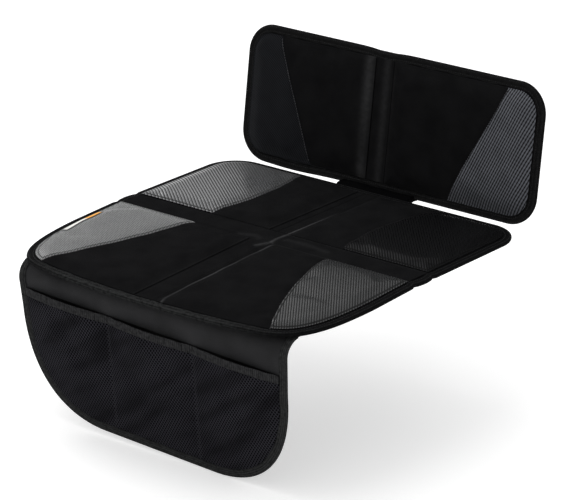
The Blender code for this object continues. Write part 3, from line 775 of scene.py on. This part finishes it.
def edge_tape(name, outline, section, laid, loop=True):
    """Carries the section along an outline; inwards is to the outline's left."""
    left = to_left(headings(outline, loop))
    run = run_along(outline)
    total = run[-1] + np.linalg.norm(outline[0] - outline[-1])
    waves = 1 + 0.05 * np.sin(run * 2 * math.pi * round(total / 0.047) / total)[:, None]
    inward = section[None, :, 0] * np.where(section[None, :, 0] > 0.005, waves, 1.0)
    flat = outline[:, None, :] + inward[..., None] * left[:, None, :]
    places = laid(flat[..., 0], flat[..., 1], np.broadcast_to(section[None, :, 1], inward.shape))
    rows, columns = inward.shape
    girth = run_along(np.vstack([section, section[:1]]))
    lengths = np.append(run, total) if loop else run
    flat_map = np.stack(np.meshgrid(lengths, girth, indexing="ij"), axis=-1)
    i, j = grid_quads(rows, columns, loop, True)
    corners = (i % rows) * columns + j % columns
    caps = [] if loop else [list(range(columns))[::-1], [(rows - 1) * columns + k for k in range(columns)]]
    return add_piece(name, places, corners, flat_map[i, j], extra=caps)


def sew(name, line, height, laid, look, loop=True):
    """Stitches along a flat line: each a small spindle, radius = thickness * sqrt(1 - t^2).

    The height is a number, or a function of the flat place where the cloth below isn't level.
    """
    run = evenly(line, STITCH_PITCH, loop)
    ahead = headings(run, loop)
    left = to_left(ahead)
    t = np.array([-1.0, -0.8, 0.0, 0.8, 1.0])
    angle = np.linspace(0, 2 * math.pi, 6, endpoint=False)
    radius = STITCH_THICKNESS * np.sqrt(1 - (0.97 * t) ** 2)
    forward = (t * STITCH_LENGTH / 2)[None, :, None]
    side = (radius[:, None] * np.cos(angle))[None]
    up = (radius[:, None] * np.sin(angle) * 0.8)[None]
    across, along = (run[:, None, None, k] + forward * ahead[:, None, None, k]
                     + side * left[:, None, None, k] for k in (0, 1))
    level = height(across, along) if callable(height) else height
    ring, turn = np.meshgrid(np.arange(4), np.arange(6), indexing="ij")
    one = np.stack([ring * 6 + turn, ring * 6 + (turn + 1) % 6, (ring + 1) * 6 + (turn + 1) % 6,
                    (ring + 1) * 6 + turn], axis=-1).reshape(-1, 4)
    starts = np.arange(len(run)) * 30
    corners = (starts[:, None, None] + one[None]).reshape(-1, 4)
    caps = [[s + k for k in order] for s in starts.tolist() for order in (range(5, -1, -1), range(24, 30))]
    places = laid(across, along, level + up + 0 * across)
    row = add_piece(name, places, corners, np.zeros((len(corners), 4, 2)), extra=caps)
    row.data.materials.append(look)
    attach(row, "root")
    return row


def tape_cloth(name, light, crumpled=(0.45, 1.45), painted_shades=((0, 0.0, 1.0, 1.0, 1.0),)):
    """Ribbed tape: ribs of 1.0 mm across its length, rows along it, and a crumpled, uneven tone.

    The painted shades are spans along an axis over which the tape is painted darker, as painted shade, and
    the darkest one counts.
    """
    material, shader, flat = new_finish(name, 0.8, 0.015)
    ribs = times(material, threads(material, flat, 0.0010, 90, 0.3), 0.6)
    rows = times(material, threads(material, flat, 0.0028, 0, 0.2), 0.4)
    weave = combined(material, "ADD", ribs, rows)
    painted_shade = tone_along(material, *painted_shades[0])
    for span in painted_shades[1:]:
        painted_shade = combined(material, "MINIMUM", painted_shade, tone_along(material, *span))
    # The painted shade also scales the crumpled tone and its relief.
    crumple_and_shade = times(material, painted_shade, blotches(material, flat, 0.0045, *crumpled))
    coloured(material, shader, times(material, weave, crumple_and_shade), TAPE_DARK, light)
    before = raised(material, shader, crumple_and_shade, 0.0004)
    raised(material, shader, weave, 0.00035, before)
    return material


def stitch_thread(name, dark, light):
    """Polyester sewing thread, with a soft gloss and an uneven dye."""
    material, shader = new_shader(name, 0.6, 0.1)
    place = add_node(material, "TexCoord").outputs["Object"]
    coloured(material, shader, blotches(material, place, 0.004, 0.0, 1.0), dark, light)
    return material


def bind_edge(panel, outline, cloth_low, cloth_high, stack, laid, look, loop=True):
    """Folds the tape round an outline and stitches it through in two rows."""
    tape = edge_tape(panel + "_edge_tape", outline, tape_section(cloth_low, cloth_high, stack), laid, loop)
    seat_in_place(tape, panel + "_edge_binding", look)
    level = cloth_high + stack - STITCH_SUNK
    rows = [sew("%s_tape_stitches_%d" % (panel, k), moved_in(outline, row, loop), level, laid,
                thread, loop) for k, row in enumerate(STITCH_ROWS)]


thread = stitch_thread("sewing_thread", (0.006, 0.006, 0.0065), (0.024, 0.024, 0.025))
seat_outline = whole(front_half(), rear_half(), 0.0020)
seat_across, seat_along = seat_outline.T
at_side = bell(np.maximum(SEAT_SIDE - 0.01 - np.abs(seat_across), 0), 0.002)
notches = bell(seat_along - 0.018, 0.0035) + bell(seat_along + 0.019, 0.0035)
bulge = FOLD_BULGE * bell(seat_along, 0.010) - FOLD_NOTCH * notches
seat_outline = seat_outline + np.stack([np.sign(seat_across) * at_side * bulge, 0 * bulge], axis=1)
bind_edge("seat", seat_outline, 0, LINING, TAPE_STACK, on_seat,
          tape_cloth("seat_tape_cloth", SEAT_TAPE_LIGHT, (0.15, 1.9), SEAT_TAPE_PAINTED_SHADES))

# Stitching on the seat's inserts
# Each insert is top-stitched beside its seam and beside the cross band, in a darker thread.

SEAM_MARGIN = 0.004


def beside_seam(seam, distance, low, high):
    """A line beside a seam, moved outwards, and cut where it comes within a margin of the cell's ends."""
    line = moved_in(seam[np.argsort(-seam[:, 1])], distance, loop=False)
    x, s = line.T
    return line[(s > low(x) + SEAM_MARGIN) & (s < high(x) - SEAM_MARGIN)]


def beside_band(seam, band_s, end_x):
    """A straight line along the cross band, from just outside the seam to the side of the cell."""
    start = across_at(band_s, seam) + STITCHED_IN
    return np.stack([np.linspace(start, end_x - SEAM_MARGIN, 80), np.full(80, band_s)], axis=1)


def on_insert(cover):
    """The height of an insert's face above a pad's cover, as a function of the flat place."""
    return lambda x, s: PAD_FLOOR + cover(np.abs(x), s) + INSERT_LIFT


dark_thread = stitch_thread("dark_thread", (0.001, 0.001, 0.0012), (0.004, 0.004, 0.0045))
for place in vinyl:
    side, seam, low, high = cell_of(place)
    band_s = CROSS_BAND_WIDTH / 2 + STITCHED_IN if low is band_rear else FOLD_LINE - STITCHED_IN
    lines = [beside_seam(seam, STITCHED_IN, low, high), beside_band(seam, band_s, cell_side)]
    for number, line in enumerate(lines):
        sew("insert_stitches_%s_%d" % (place, number), line * (side, 1), on_insert(cover_at[place]), on_seat,
            dark_thread, loop=False)

# Woven label
# A soft woven tab, sewn flat on the front left insert beside the edge tape, white with an orange end.
# It carries no lettering: a thin dark line runs round it, as on a plain woven tab.

LABEL_LENGTH = 0.070
LABEL_WIDTH = 0.0095
LABEL_THICKNESS = 0.0005
LABEL_FROM_FRONT = 0.112
LABEL_MARGIN = 0.0015
LABEL_ORANGE_FROM = 0.043
LABEL_LINE = 0.0008
LABEL_LIFT = 0.0009


def label_cloth(name):
    """White satin weave that turns orange at one end, with a dark line round it."""
    material, shader, flat = new_finish(name, 0.6, 0.3)
    place = add_node(material, "SeparateXYZ", {0: flat}).outputs
    end = combined(material, "GREATER_THAN", place[1], LABEL_ORANGE_FROM)
    two_tone = mixed(material, end, (0.80, 0.79, 0.76, 1), (0.86, 0.37, 0.03, 1))
    from_middle = [apart(material, place[0], LABEL_WIDTH / 2), apart(material, place[1], LABEL_LENGTH / 2)]
    edges = [combined(material, "GREATER_THAN", distance, size / 2 - LABEL_LINE)
             for distance, size in zip(from_middle, (LABEL_WIDTH, LABEL_LENGTH))]
    worn = times(material, combined(material, "MAXIMUM", *edges), 0.8)
    lined = mixed(material, worn, two_tone, (0.02, 0.02, 0.02, 1))
    material.node_tree.links.new(lined, shader.inputs["Base Color"])
    raised(material, shader, threads(material, flat, 0.0006, 0), 0.0001)
    return material


label_t = np.linspace(0, 1, 81)[:, None]
label_u = np.linspace(0, 1, 15)[None, :]
label_along = -SEAT_FRONT + LABEL_FROM_FRONT + LABEL_LENGTH * label_t
label_rim = moved_in(whole(front_half(), rear_half(), OUTLINE_STEP), TAPE_WIDTH + CLEARANCE + LABEL_MARGIN)
label_rim = evenly(label_rim, OUTLINE_STEP)
label_rim = label_rim[(label_rim[:, 0] > 0.1) & (label_rim[:, 1] < 0)]
label_across = across_at(label_along, label_rim) - LABEL_WIDTH * label_u
label_s = label_along + 0 * label_across
label_height = PAD_FLOOR + cover_at["front_left"](label_across, label_s) + INSERT_LIFT + LABEL_LIFT
label_map = np.stack(np.broadcast_arrays(LABEL_WIDTH * label_u, LABEL_LENGTH * label_t), axis=-1)
label = slab_piece("woven_label", on_seat(-label_across, label_s, label_height),
                   on_seat(-label_across, label_s, label_height - LABEL_THICKNESS), label_map)
seat_in_place(label, "side_label", label_cloth("label_weave"))

# Back panel
# Built as the seat panel is, and stood up behind it: lining, two quilted halves with an insert each,
# a flat fold band between them, and the same folded tape round the edge.

BACK_LEAN = math.radians(7.72)
BACK_FOOT = 0.233
BACK_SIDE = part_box("back_edge_binding")[1][0]
BACK_HEIGHT = 0.184
BACK_CORNER_RADIUS = 0.040
BACK_FOLD_WIDTH = 0.030
BACK_FOLD_OFFSET = -0.012
BACK_INSERT_AT_TOP = 0.053
BACK_INSERT_PULL_NEAR_TOP = 0.073
BACK_INSERT_LEAN_AT_FOOT = 0.018
BACK_INSERT_AT_FOOT = {"right": 0.136, "left": 0.124}
BACK_STITCHED_IN = 0.0012
BACK_TOP_DIP = 0.0022
BACK_FOOT_SAG = 0.0026


def on_back(across, up, height):
    """Stood up: along becomes up, and the whole leans back from its foot."""
    y = BACK_FOOT + up * np.sin(BACK_LEAN) - height * np.cos(BACK_LEAN)
    z = up * np.cos(BACK_LEAN) + height * np.sin(BACK_LEAN)
    return np.stack([across + 0 * up, y + 0 * across, z + 0 * across], axis=-1)


def back_lower():
    """The back's lower edge on the right: level, then a round corner."""
    corner = round_corner((BACK_SIDE - BACK_CORNER_RADIUS, BACK_CORNER_RADIUS), BACK_CORNER_RADIUS, -90, 0)
    return np.vstack([[(0, 0)], corner])


def back_upper():
    """The back's upper edge on the right: a round corner, then level."""
    centre = (BACK_SIDE - BACK_CORNER_RADIUS, BACK_HEIGHT - BACK_CORNER_RADIUS)
    return np.vstack([round_corner(centre, BACK_CORNER_RADIUS, 0, 90), [(0, BACK_HEIGHT)]])


def back_seam(width_at_foot):
    """The seam of a back insert on the right side, from the foot out to the upper corner."""
    foot_pull = width_at_foot - BACK_INSERT_LEAN_AT_FOOT
    return pulled_curve((BACK_SIDE - width_at_foot, 0), (BACK_SIDE - foot_pull, BACK_HEIGHT * 0.33),
                        (BACK_SIDE - BACK_INSERT_PULL_NEAR_TOP, BACK_HEIGHT * 0.66),
                        (BACK_SIDE - BACK_INSERT_AT_TOP, BACK_HEIGHT))


back_lining = line_panel("back_lining", "back_base_cloth", back_lower(), back_upper(), 50, on_back,
                         "back_backing")
back_cell_foot_at, back_cell_top_at, back_cell_side = limits(back_lower(), back_upper(),
                                                             TAPE_WIDTH + CLEARANCE)
back_vinyl = {
    "right": ribbed_insert("insert_back_right", (66, 0.0036), (160, 0.0050, 0.22), (0.0005,) * 3,
                           (0.120, 0.125, 0.142), 0.0005, 0.16, 0.4, 0.0, (2, 0.015, 0.05, 0.55, 1.0)),
    "left": ribbed_insert("insert_back_left", (62, 0.0024), (150, 0.0024, 0.9), (0.001,) * 3,
                          (0.015, 0.016, 0.019), 0.0002, 0.04, 0.6, 0.0),
}
back_cover_at = {}
for hand, finish in back_vinyl.items():
    side = 1 if hand == "right" else -1
    inner = side * BACK_FOLD_OFFSET + BACK_FOLD_WIDTH / 2
    # Painted highlight: a soft paler strip beside the left pad's inner side, and a faint line beside the
    # right one's.
    back_cover_at[hand] = quilted(
        ("back_quilted_" + hand, "back_insert_ribbed_" + hand), ("back_pad_" + hand, "back_insert_" + hand),
        on_back, inner, back_cell_side, back_cell_foot_at, back_cell_top_at,
        back_seam(BACK_INSERT_AT_FOOT[hand]), side, (quilt_cloth("back_quilt_" + hand), finish), 0.0,
        (0.0075, 0.0065, 0.36) if hand == "left" else (0.0, 0.004, 0.05))
pale_thread = stitch_thread("seam_thread", (0.02, 0.02, 0.022), (0.11, 0.11, 0.115))
for hand, side, look in (("right", 1, thread), ("left", -1, pale_thread)):
    seam = back_seam(BACK_INSERT_AT_FOOT[hand])
    line = beside_seam(seam, BACK_STITCHED_IN, back_cell_foot_at, back_cell_top_at)
    sew("back_insert_stitches_" + hand, line * (side, 1), on_insert(back_cover_at[hand]), on_back,
        look, loop=False)
fold_half = BACK_FOLD_WIDTH / 2 - CLEARANCE
fold_x = np.linspace(-fold_half, fold_half, 41)
fold_across, fold_along = field(fold_x + BACK_FOLD_OFFSET, back_cell_foot_at, back_cell_top_at, 121)
# Painted highlight: a soft paler strip just right of the fold band's middle.
fold_band("back_fold", "back_fold_band", fold_across, fold_along,
          band_height(fold_across - BACK_FOLD_OFFSET, fold_half, fold_along), on_back,
          quilt_cloth("back_fold_cloth"),
          0.16 * bell(fold_across - BACK_FOLD_OFFSET - 0.004, 0.0060))
back_outline = whole(back_lower(), back_upper(), 0.0028)
upper_half = back_outline[:, 1] > BACK_HEIGHT / 2
back_dip = BACK_TOP_DIP * bell(back_outline[:, 0] - BACK_FOLD_OFFSET, 0.022) * upper_half
back_sag = BACK_FOOT_SAG * bell(back_outline[:, 0] + 0.150, 0.050) * ~upper_half
back_outline[:, 1] -= back_dip + back_sag
bind_edge("back", back_outline, 0, LINING, TAPE_STACK, on_back,
          tape_cloth("back_tape_cloth", (0.015, 0.015, 0.015)))

# Hinge strap
# A doubled piece of smooth cloth that joins the two panels: one tail is sewn under the seat panel,
# the other behind the back panel, and it is rolled between them.

STRAP_WIDTH = 0.114
STRAP_OFFSET = -0.005
STRAP_RISE = 0.006
STRAP_TAIL = 0.014
STRAP_CLOTH = 0.0020
STRAP_LIGHT = (0.0030, 0.0030, 0.0033)


def strap_paths():
    """The strap's upper and lower line in section, as (y, z), from the seat's tail to the back's."""
    under = -TAPE_STACK - CLEARANCE
    below = under - STRAP_CLOTH
    front_wall = LINING + TAPE_STACK + CLEARANCE
    edge = SEAT_REAR + CLEARANCE
    stood = lambda up, out: tuple(on_back(np.zeros(1), np.array([up]), out)[0][1:])
    ahead = lambda share: SEAT_REAR + (BACK_FOOT - SEAT_REAR) * share
    foot = -CLEARANCE - STRAP_CLOTH
    upper = [(edge - STRAP_TAIL, under), (edge, under), (edge, 0.0015), (ahead(0.15), STRAP_RISE * 0.72),
             (ahead(0.45), STRAP_RISE), stood(STRAP_RISE * 0.8, front_wall), stood(-CLEARANCE, front_wall),
             stood(-CLEARANCE, under), stood(STRAP_TAIL, under)]
    lower = [(edge - STRAP_TAIL, below), (edge, below), (ahead(0.10), below), (ahead(0.25), below),
             (ahead(0.45), below), stood(foot, front_wall), stood(foot, 0.0), stood(foot, below),
             stood(STRAP_TAIL, below)]
    return np.array(upper), np.array(lower)


def smooth_cloth(name, dark, light, roughness, gloss, darker_below=-1.0):
    """Smooth close weave: threads of 0.6 mm under a soft gloss, with slow tone along it.

    Below a place along it, where a pocket covers it, the cloth is painted darker, as painted shade inside
    the pocket.
    """
    material, shader, flat = new_finish(name, roughness, gloss)
    weave = crossed(material, flat, 0.0006, 20, how="MULTIPLY")
    tone = combined(material, "ADD", times(material, weave, 0.5), blotches(material, flat, 0.05, 0.2, 0.45))
    along = add_node(material, "SeparateXYZ", {0: flat}).outputs[1]
    # Painted shade: below that place the colour falls to 4 % of its tone.
    painted_pocket_shade = remapped(material, along, darker_below, darker_below + 0.0015, 0.04)
    coloured(material, shader, times(material, tone, painted_pocket_shade), dark, light)
    raised(material, shader, weave, 0.0001)
    return material


strap_steps = np.linspace(0, 8, 65)
strap_x = STRAP_OFFSET + STRAP_WIDTH * (spread(91, 0.8) - 0.5)
strap_lines = [np.stack([np.interp(strap_steps, np.arange(9), line[:, k]) for k in (0, 1)], axis=1)
               for line in strap_paths()]
strap_roll = bell(strap_steps - 4.2, 1.1)[:, None]
strap_wave = 0.0006 * np.sin((strap_x - STRAP_OFFSET) * 160 + 1.2 * np.sin(strap_x * 95)) - 0.0006
strap_places = [np.stack([np.broadcast_to(strap_x, (65, 91)), np.broadcast_to(line[:, :1], (65, 91)),
                          line[:, 1:] + strap_roll * strap_wave[None, :] * lift], axis=-1)
                for line, lift in zip(strap_lines, (1, 0))]
strap_run = run_along(strap_lines[0])
strap_map = np.stack(np.meshgrid(strap_run, strap_x, indexing="ij")[::-1], axis=-1)
strap = slab_piece("hinge_strap_cloth", *strap_places, strap_map)
seat_in_place(strap, "hinge_strap",
              smooth_cloth("strap_weave", (0.0010, 0.0010, 0.0012), STRAP_LIGHT, 0.8, 0.008))

# Front flap
# One layer of coated cloth, sewn under the seat panel and hanging over the seat's front edge.
# The same tape, thinner, is folded round its free edge.

FLAP_SIDE = 0.209
FLAP_TAPER = 0.005
FLAP_OFFSET = -0.003
FLAP_CLOTH = 0.0012
FLAP_SEWN_FROM_FRONT = 0.082
FLAP_SEWN_WIDTH = 0.012
FLAP_BEND_FROM_FRONT = 0.0435
FLAP_BEND_RADIUS = 0.021
FLAP_DROP = 0.187
FLAP_LEAN = math.radians(8.0)
FLAP_ROLL = math.radians(2.3)
FLAP_CORNER_RISE = 0.1425
FLAP_CORNER_REACH = 0.122
FLAP_TAPE_STACK = 0.0011
FLAP_WAVES = 0.0004
HEM_WIDTH = 0.011
POCKET_MOUTH_HEIGHT = 0.1705
BEND_START = -SEAT_FRONT + FLAP_BEND_FROM_FRONT
FLAP_TOP = -SEAT_FRONT + FLAP_SEWN_FROM_FRONT
BEND_TURN = math.pi / 2 + FLAP_LEAN - FRONT_PITCH
BEND_END = BEND_START - FLAP_BEND_RADIUS * BEND_TURN
FLAP_BOTTOM = BEND_END - FLAP_DROP
POCKET_MOUTH = FLAP_BOTTOM + POCKET_MOUTH_HEIGHT
FLAP_TAPE_START = BEND_START + HEM_WIDTH / 2
SEWN_DEPTH = CLEARANCE + FLAP_CLOTH
HUNG_DEPTH = TAPE_STACK + CLEARANCE + FLAP_CLOTH + FLAP_TAPE_STACK


def on_flap(across, along, height):
    """Turned a little in its plane, then sewn under the seat, carried round the bend and hung down."""
    from_start = along - BEND_START
    x = FLAP_OFFSET + across * np.cos(FLAP_ROLL) + from_start * np.sin(FLAP_ROLL)
    s = BEND_START - across * np.sin(FLAP_ROLL) + from_start * np.cos(FLAP_ROLL)
    sewn_end = FLAP_TOP - FLAP_SEWN_WIDTH
    share = np.clip((sewn_end - s) / (sewn_end - FLAP_TAPE_START), 0, 1)
    depth = SEWN_DEPTH + share * (HUNG_DEPTH - SEWN_DEPTH)
    flat_place = on_seat(x, np.maximum(s, BEND_START), height - np.where(s > BEND_START, depth, HUNG_DEPTH))
    centre = on_seat(np.zeros(1), np.array([BEND_START]), -HUNG_DEPTH - FLAP_BEND_RADIUS)[0]
    turn = FRONT_PITCH + np.clip(BEND_START - s, 0, BEND_START - BEND_END) / FLAP_BEND_RADIUS
    down = np.maximum(BEND_END - s, 0)
    y = centre[1] - (FLAP_BEND_RADIUS + height) * np.sin(turn) - down * np.cos(turn)
    z = centre[2] + (FLAP_BEND_RADIUS + height) * np.cos(turn) - down * np.sin(turn)
    hung = np.stack([x, y, z + 0 * x], axis=-1)
    return np.where((s > BEND_START)[..., None], flat_place, hung)


def flap_lower():
    """The flap's free edge on the right: level, then one long round corner."""
    start = (FLAP_SIDE - FLAP_CORNER_REACH, FLAP_BOTTOM)
    end = (FLAP_SIDE, FLAP_BOTTOM + FLAP_CORNER_RISE)
    corner = pulled_curve(start, (start[0] + FLAP_CORNER_REACH * 0.65, FLAP_BOTTOM),
                          (FLAP_SIDE, end[1] - FLAP_CORNER_RISE * 0.6), end, 120)
    return np.vstack([[(0, FLAP_BOTTOM)], corner])


def flap_side_at(along, distance):
    """Half the flap's width at a height, moved inwards by a distance."""
    top = FLAP_SIDE + FLAP_TAPER
    edge = np.vstack([flap_lower()[1:], [(top, BEND_START), (top, FLAP_TOP)]])
    return across_at(along, moved_in(evenly(edge, 0.001, loop=False), distance, loop=False))


flap_floor = FLAP_BOTTOM + FLAP_TAPE_STACK
flap_rows = flap_floor + (FLAP_TOP - flap_floor) * (1 - np.cos(np.pi / 2 * np.linspace(0, 1, 130)))[:, None]
flap_half = flap_side_at(flap_rows, FLAP_TAPE_STACK)
flap_half[0] = FLAP_SIDE - FLAP_CORNER_REACH
flap_across = flap_half * np.linspace(-1, 1, 141)[None, :]
flap_along = flap_rows + 0 * flap_across
flap_free = np.clip((flap_along - BEND_END + 0.016) / 0.012, 0, 1)
flap_free = flap_free * np.clip((BEND_START - flap_along) / 0.012, 0, 1)
flap_waves = FLAP_WAVES * np.sin(flap_across * 42 + 1.3) * np.sin(flap_across * 17) * flap_free
flap = laid_slab("flap_sheet", on_flap, flap_across, flap_along, FLAP_CLOTH / 2 + flap_waves,
                 -FLAP_CLOTH / 2 + flap_waves)
# Painted shade: the flap cloth is painted dark behind the pockets, from just below their mouths.
flap_look = smooth_cloth("flap_weave", (0.002, 0.002, 0.002), (0.052, 0.052, 0.055), 0.55, 0.06,
                         POCKET_MOUTH - 0.0008)
seat_in_place(flap, "flap_cloth", flap_look)
flap_edge = np.vstack([flap_lower(), [(FLAP_SIDE + FLAP_TAPER * 0.95, FLAP_TAPE_START)]])
flap_edge = np.vstack([(flap_edge * (-1, 1))[::-1][:-1], flap_edge])
bind_edge("flap", evenly(flap_edge, 0.0026, loop=False), -FLAP_CLOTH / 2, FLAP_CLOTH / 2,
          FLAP_TAPE_STACK, on_flap, tape_cloth("flap_tape_cloth", TAPE_LIGHT), loop=False)

# Net pockets
# Stretch net of knotted threads in front of the flap, sewn down at both sides, at the lower edge and
# along two upright seams. A folded tape hems its upper edge, which stands a little open.

POCKET_DEPTH = 0.0075
POCKET_FULLNESS = 0.7
POCKET_SEAM = 0.067
NET_THICKNESS = 0.0008
HEM_THICKNESS = 0.0018
HEM_ARCH = 0.0022
HEM_NICKS = (-0.082, -0.012, 0.054)
HEM_NICK_DEPTH = 0.0015
POCKET_FLOOR = FLAP_BOTTOM + TAPE_WIDTH + 2 * CLEARANCE


def pocket_field(top, bottom, rows, columns):
    """Flat grid over the three pockets, and how far each place is free of a seam, from 0 to 1.

    Free = sin(pi * across)^fullness * (1 - sag^2), with sag from 0 at the mouth to 1 at the floor.
    """
    half_mouth = float(flap_side_at(np.array(POCKET_MOUTH), TAPE_WIDTH + CLEARANCE))
    seams = np.array([-half_mouth, -POCKET_SEAM, POCKET_SEAM, half_mouth])
    place = np.linspace(0, 3, 3 * columns + 1)[None, :]
    pocket = np.minimum(place.astype(int), 2)
    share = place - pocket
    along = bottom + (top - bottom) * np.linspace(0, 1, rows)[:, None]
    side = flap_side_at(along, TAPE_WIDTH + CLEARANCE)
    left = np.clip(seams[pocket], -side, side)
    right = np.clip(seams[pocket + 1], -side, side)
    across = left + share * (right - left)
    sag = (POCKET_MOUTH - along) / (POCKET_MOUTH - POCKET_FLOOR)
    free = np.sin(np.pi * np.clip(share, 0, 1)) ** POCKET_FULLNESS * np.clip(1 - sag ** 2, 0, 1)
    return across, along + HEM_ARCH * free, free


def net_cloth(name):
    """Net: two rows of slanting threads, 3.3 and 3.8 mm apart, with dark holes between them.

    It is paler in a band along its two upright seams, and painted shade of slack folds darkens it between
    them.
    """
    material, shader, flat = new_finish(name, 0.8, 0.03)
    one, two = threads(material, flat, 0.0033, 60, 0.3), threads(material, flat, 0.0038, 140, 0.3)
    net = remapped(material, combined(material, "MAXIMUM", one, two), 0.70, 1.0)
    along_folds = add_node(material, "Mapping", {"Vector": flat, "Rotation": (0, 0, math.radians(36)),
                                                 "Scale": (4.0, 1.0, 1.0)}, vector_type="TEXTURE")
    # Painted shade: long slanting blotches darken the net where slack folds would lie in shade.
    folds = blotches(material, along_folds.outputs[0], 0.024, 0.50, 1.35, 1.0)
    from_middle = combined(material, "ABSOLUTE", add_node(material, "SeparateXYZ", {0: flat}).outputs[0])
    seamed = remapped(material, apart(material, from_middle, POCKET_SEAM), 0.0015, 0.0040, 1.7, 1.0)
    tone = times(material, net, times(material, folds, seamed))
    coloured(material, shader, tone, (0.0008, 0.0008, 0.0011), (0.037, 0.036, 0.044))
    raised(material, shader, net, 0.0006)
    return material


net_across, net_along, net_free = pocket_field(POCKET_MOUTH - HEM_WIDTH - CLEARANCE, POCKET_FLOOR, 70, 60)
net_soft = 0.0022 * np.sin(net_across * 75 + net_along * 55)
net_soft = np.minimum(net_free * (net_soft + 0.0012 * np.sin(net_along * 120 - net_across * 60)), 0)
net_level = FLAP_CLOTH / 2 + CLEARANCE + POCKET_DEPTH * net_free + net_soft - 0.0002 * net_free
net = laid_slab("net_pockets", on_flap, net_across, net_along, net_level + NET_THICKNESS, net_level)
seat_in_place(net, "pocket_net", net_cloth("net_weave"))
net_s = np.linspace(POCKET_FLOOR + 0.004, POCKET_MOUTH - 0.001, 60)
net_top = lambda x, s: FLAP_CLOTH / 2 + CLEARANCE + NET_THICKNESS + 0.0010 * (s > POCKET_MOUTH - HEM_WIDTH)
for hand, place in (("left", -POCKET_SEAM), ("right", POCKET_SEAM)):
    sew("pocket_seam_stitches_" + hand, np.stack([np.full(60, place), net_s], axis=1), net_top, on_flap,
        thread, loop=False)

hem_across, hem_along, hem_free = pocket_field(POCKET_MOUTH, POCKET_MOUTH - HEM_WIDTH, 15, 140)
hem_share = np.linspace(-1, 1, 15)[:, None]
hem_round = HEM_THICKNESS * np.sqrt(1 - (0.9 * hem_share) ** 6)
hem_nicks = HEM_NICK_DEPTH * sum(bell(hem_across - nick, 0.0015) for nick in HEM_NICKS)
hem_dip = 0.0004 * bell(hem_share - 0.6, 0.15) + hem_nicks * (1 - hem_share ** 4)
hem_level = FLAP_CLOTH / 2 + CLEARANCE + POCKET_DEPTH * hem_free
hem = slab_piece("pocket_hem_tape", on_flap(hem_across, hem_along, hem_level + hem_round - hem_dip),
                 on_flap(hem_across, hem_along, hem_level), np.stack([hem_along, hem_across], axis=-1))
seat_in_place(hem, "pocket_hem", tape_cloth("hem_tape_cloth", (0.060, 0.060, 0.062)))

# Studio
# A pale floor that keeps the shadow, soft light from above and from the left, and the camera.

FLOOR_AT = float(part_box("flap_edge_binding")[0][2]) - 0.001
CAMERA_PLACE = (2.3952, -2.9653, 1.4015)
CAMERA_TURN = math.radians(38.69)
CAMERA_RISE = math.radians(20.37)
CAMERA_LENS = 207.6
WORLD_LIGHT = 0.75
FLOOR_REACH = 12.0
FLOOR_GLOW = 0.40
LAMPS = (("soft_top", (-0.4, -0.3, 2.2), 1.8, 14.0), ("soft_left", (-2.2, 0.6, 1.2), 1.4, 14.0))


def seen_directly(owner):
    """1 for what the camera sees, itself or in a gloss or through glass, and 0 for light on the object."""
    path = add_node(owner, "LightPath").outputs
    seen = combined(owner, "MAXIMUM", path["Is Camera Ray"], path["Is Glossy Ray"])
    return combined(owner, "MAXIMUM", seen, path["Is Transmission Ray"])


floor_mesh = bpy.data.meshes.new("floor")
floor_corners = [(x * FLOOR_REACH, y * FLOOR_REACH, FLOOR_AT)
                 for x, y in ((-1, -1), (1, -1), (1, 1), (-1, 1))]
floor_mesh.from_pydata(floor_corners, [], [(0, 1, 2, 3)])
floor = put_in_scene("floor", floor_mesh)
floor_look, floor_shader = new_shader("pale_floor", 0.9, 0.1)
floor_shader.inputs["Base Color"].default_value = (0.86, 0.86, 0.86, 1)
floor_shader.inputs["Emission Color"].default_value = (1, 1, 1, 1)
floor_look.node_tree.links.new(times(floor_look, seen_directly(floor_look), FLOOR_GLOW),
                               floor_shader.inputs["Emission Strength"])
floor_mesh.materials.append(floor_look)

world = bpy.data.worlds.new("studio")
world.use_nodes = True
bpy.context.scene.world = world
background = world.node_tree.nodes["Background"]
background.inputs["Color"].default_value = (1, 1, 1, 1)
world_level = add_node(world, "Mix", {0: seen_directly(world), 2: WORLD_LIGHT, 3: 1.0}, data_type="FLOAT")
world.node_tree.links.new(world_level.outputs[0], background.inputs["Strength"])

for lamp_name, place, size, power in LAMPS:
    light = bpy.data.lights.new(lamp_name, "AREA")
    light.shape = "DISK"
    light.size = size
    light.energy = power
    lamp = put_in_scene(lamp_name, light)
    aim = -np.array(place, float)
    steepness = math.atan2(math.hypot(aim[0], aim[1]), -aim[2])
    lamp.location = place
    lamp.rotation_euler = (steepness, 0, math.atan2(aim[1], aim[0]) - math.pi / 2)

camera_data = bpy.data.cameras.new("camera")
camera_data.lens = CAMERA_LENS
camera_data.sensor_width = 36
camera_data.clip_end = 60
camera = put_in_scene("camera", camera_data)
camera.location = CAMERA_PLACE
camera.rotation_euler = (math.pi / 2 - CAMERA_RISE, 0, CAMERA_TURN)
bpy.context.scene.camera = camera
bpy.context.scene.view_settings.view_transform = "Standard"
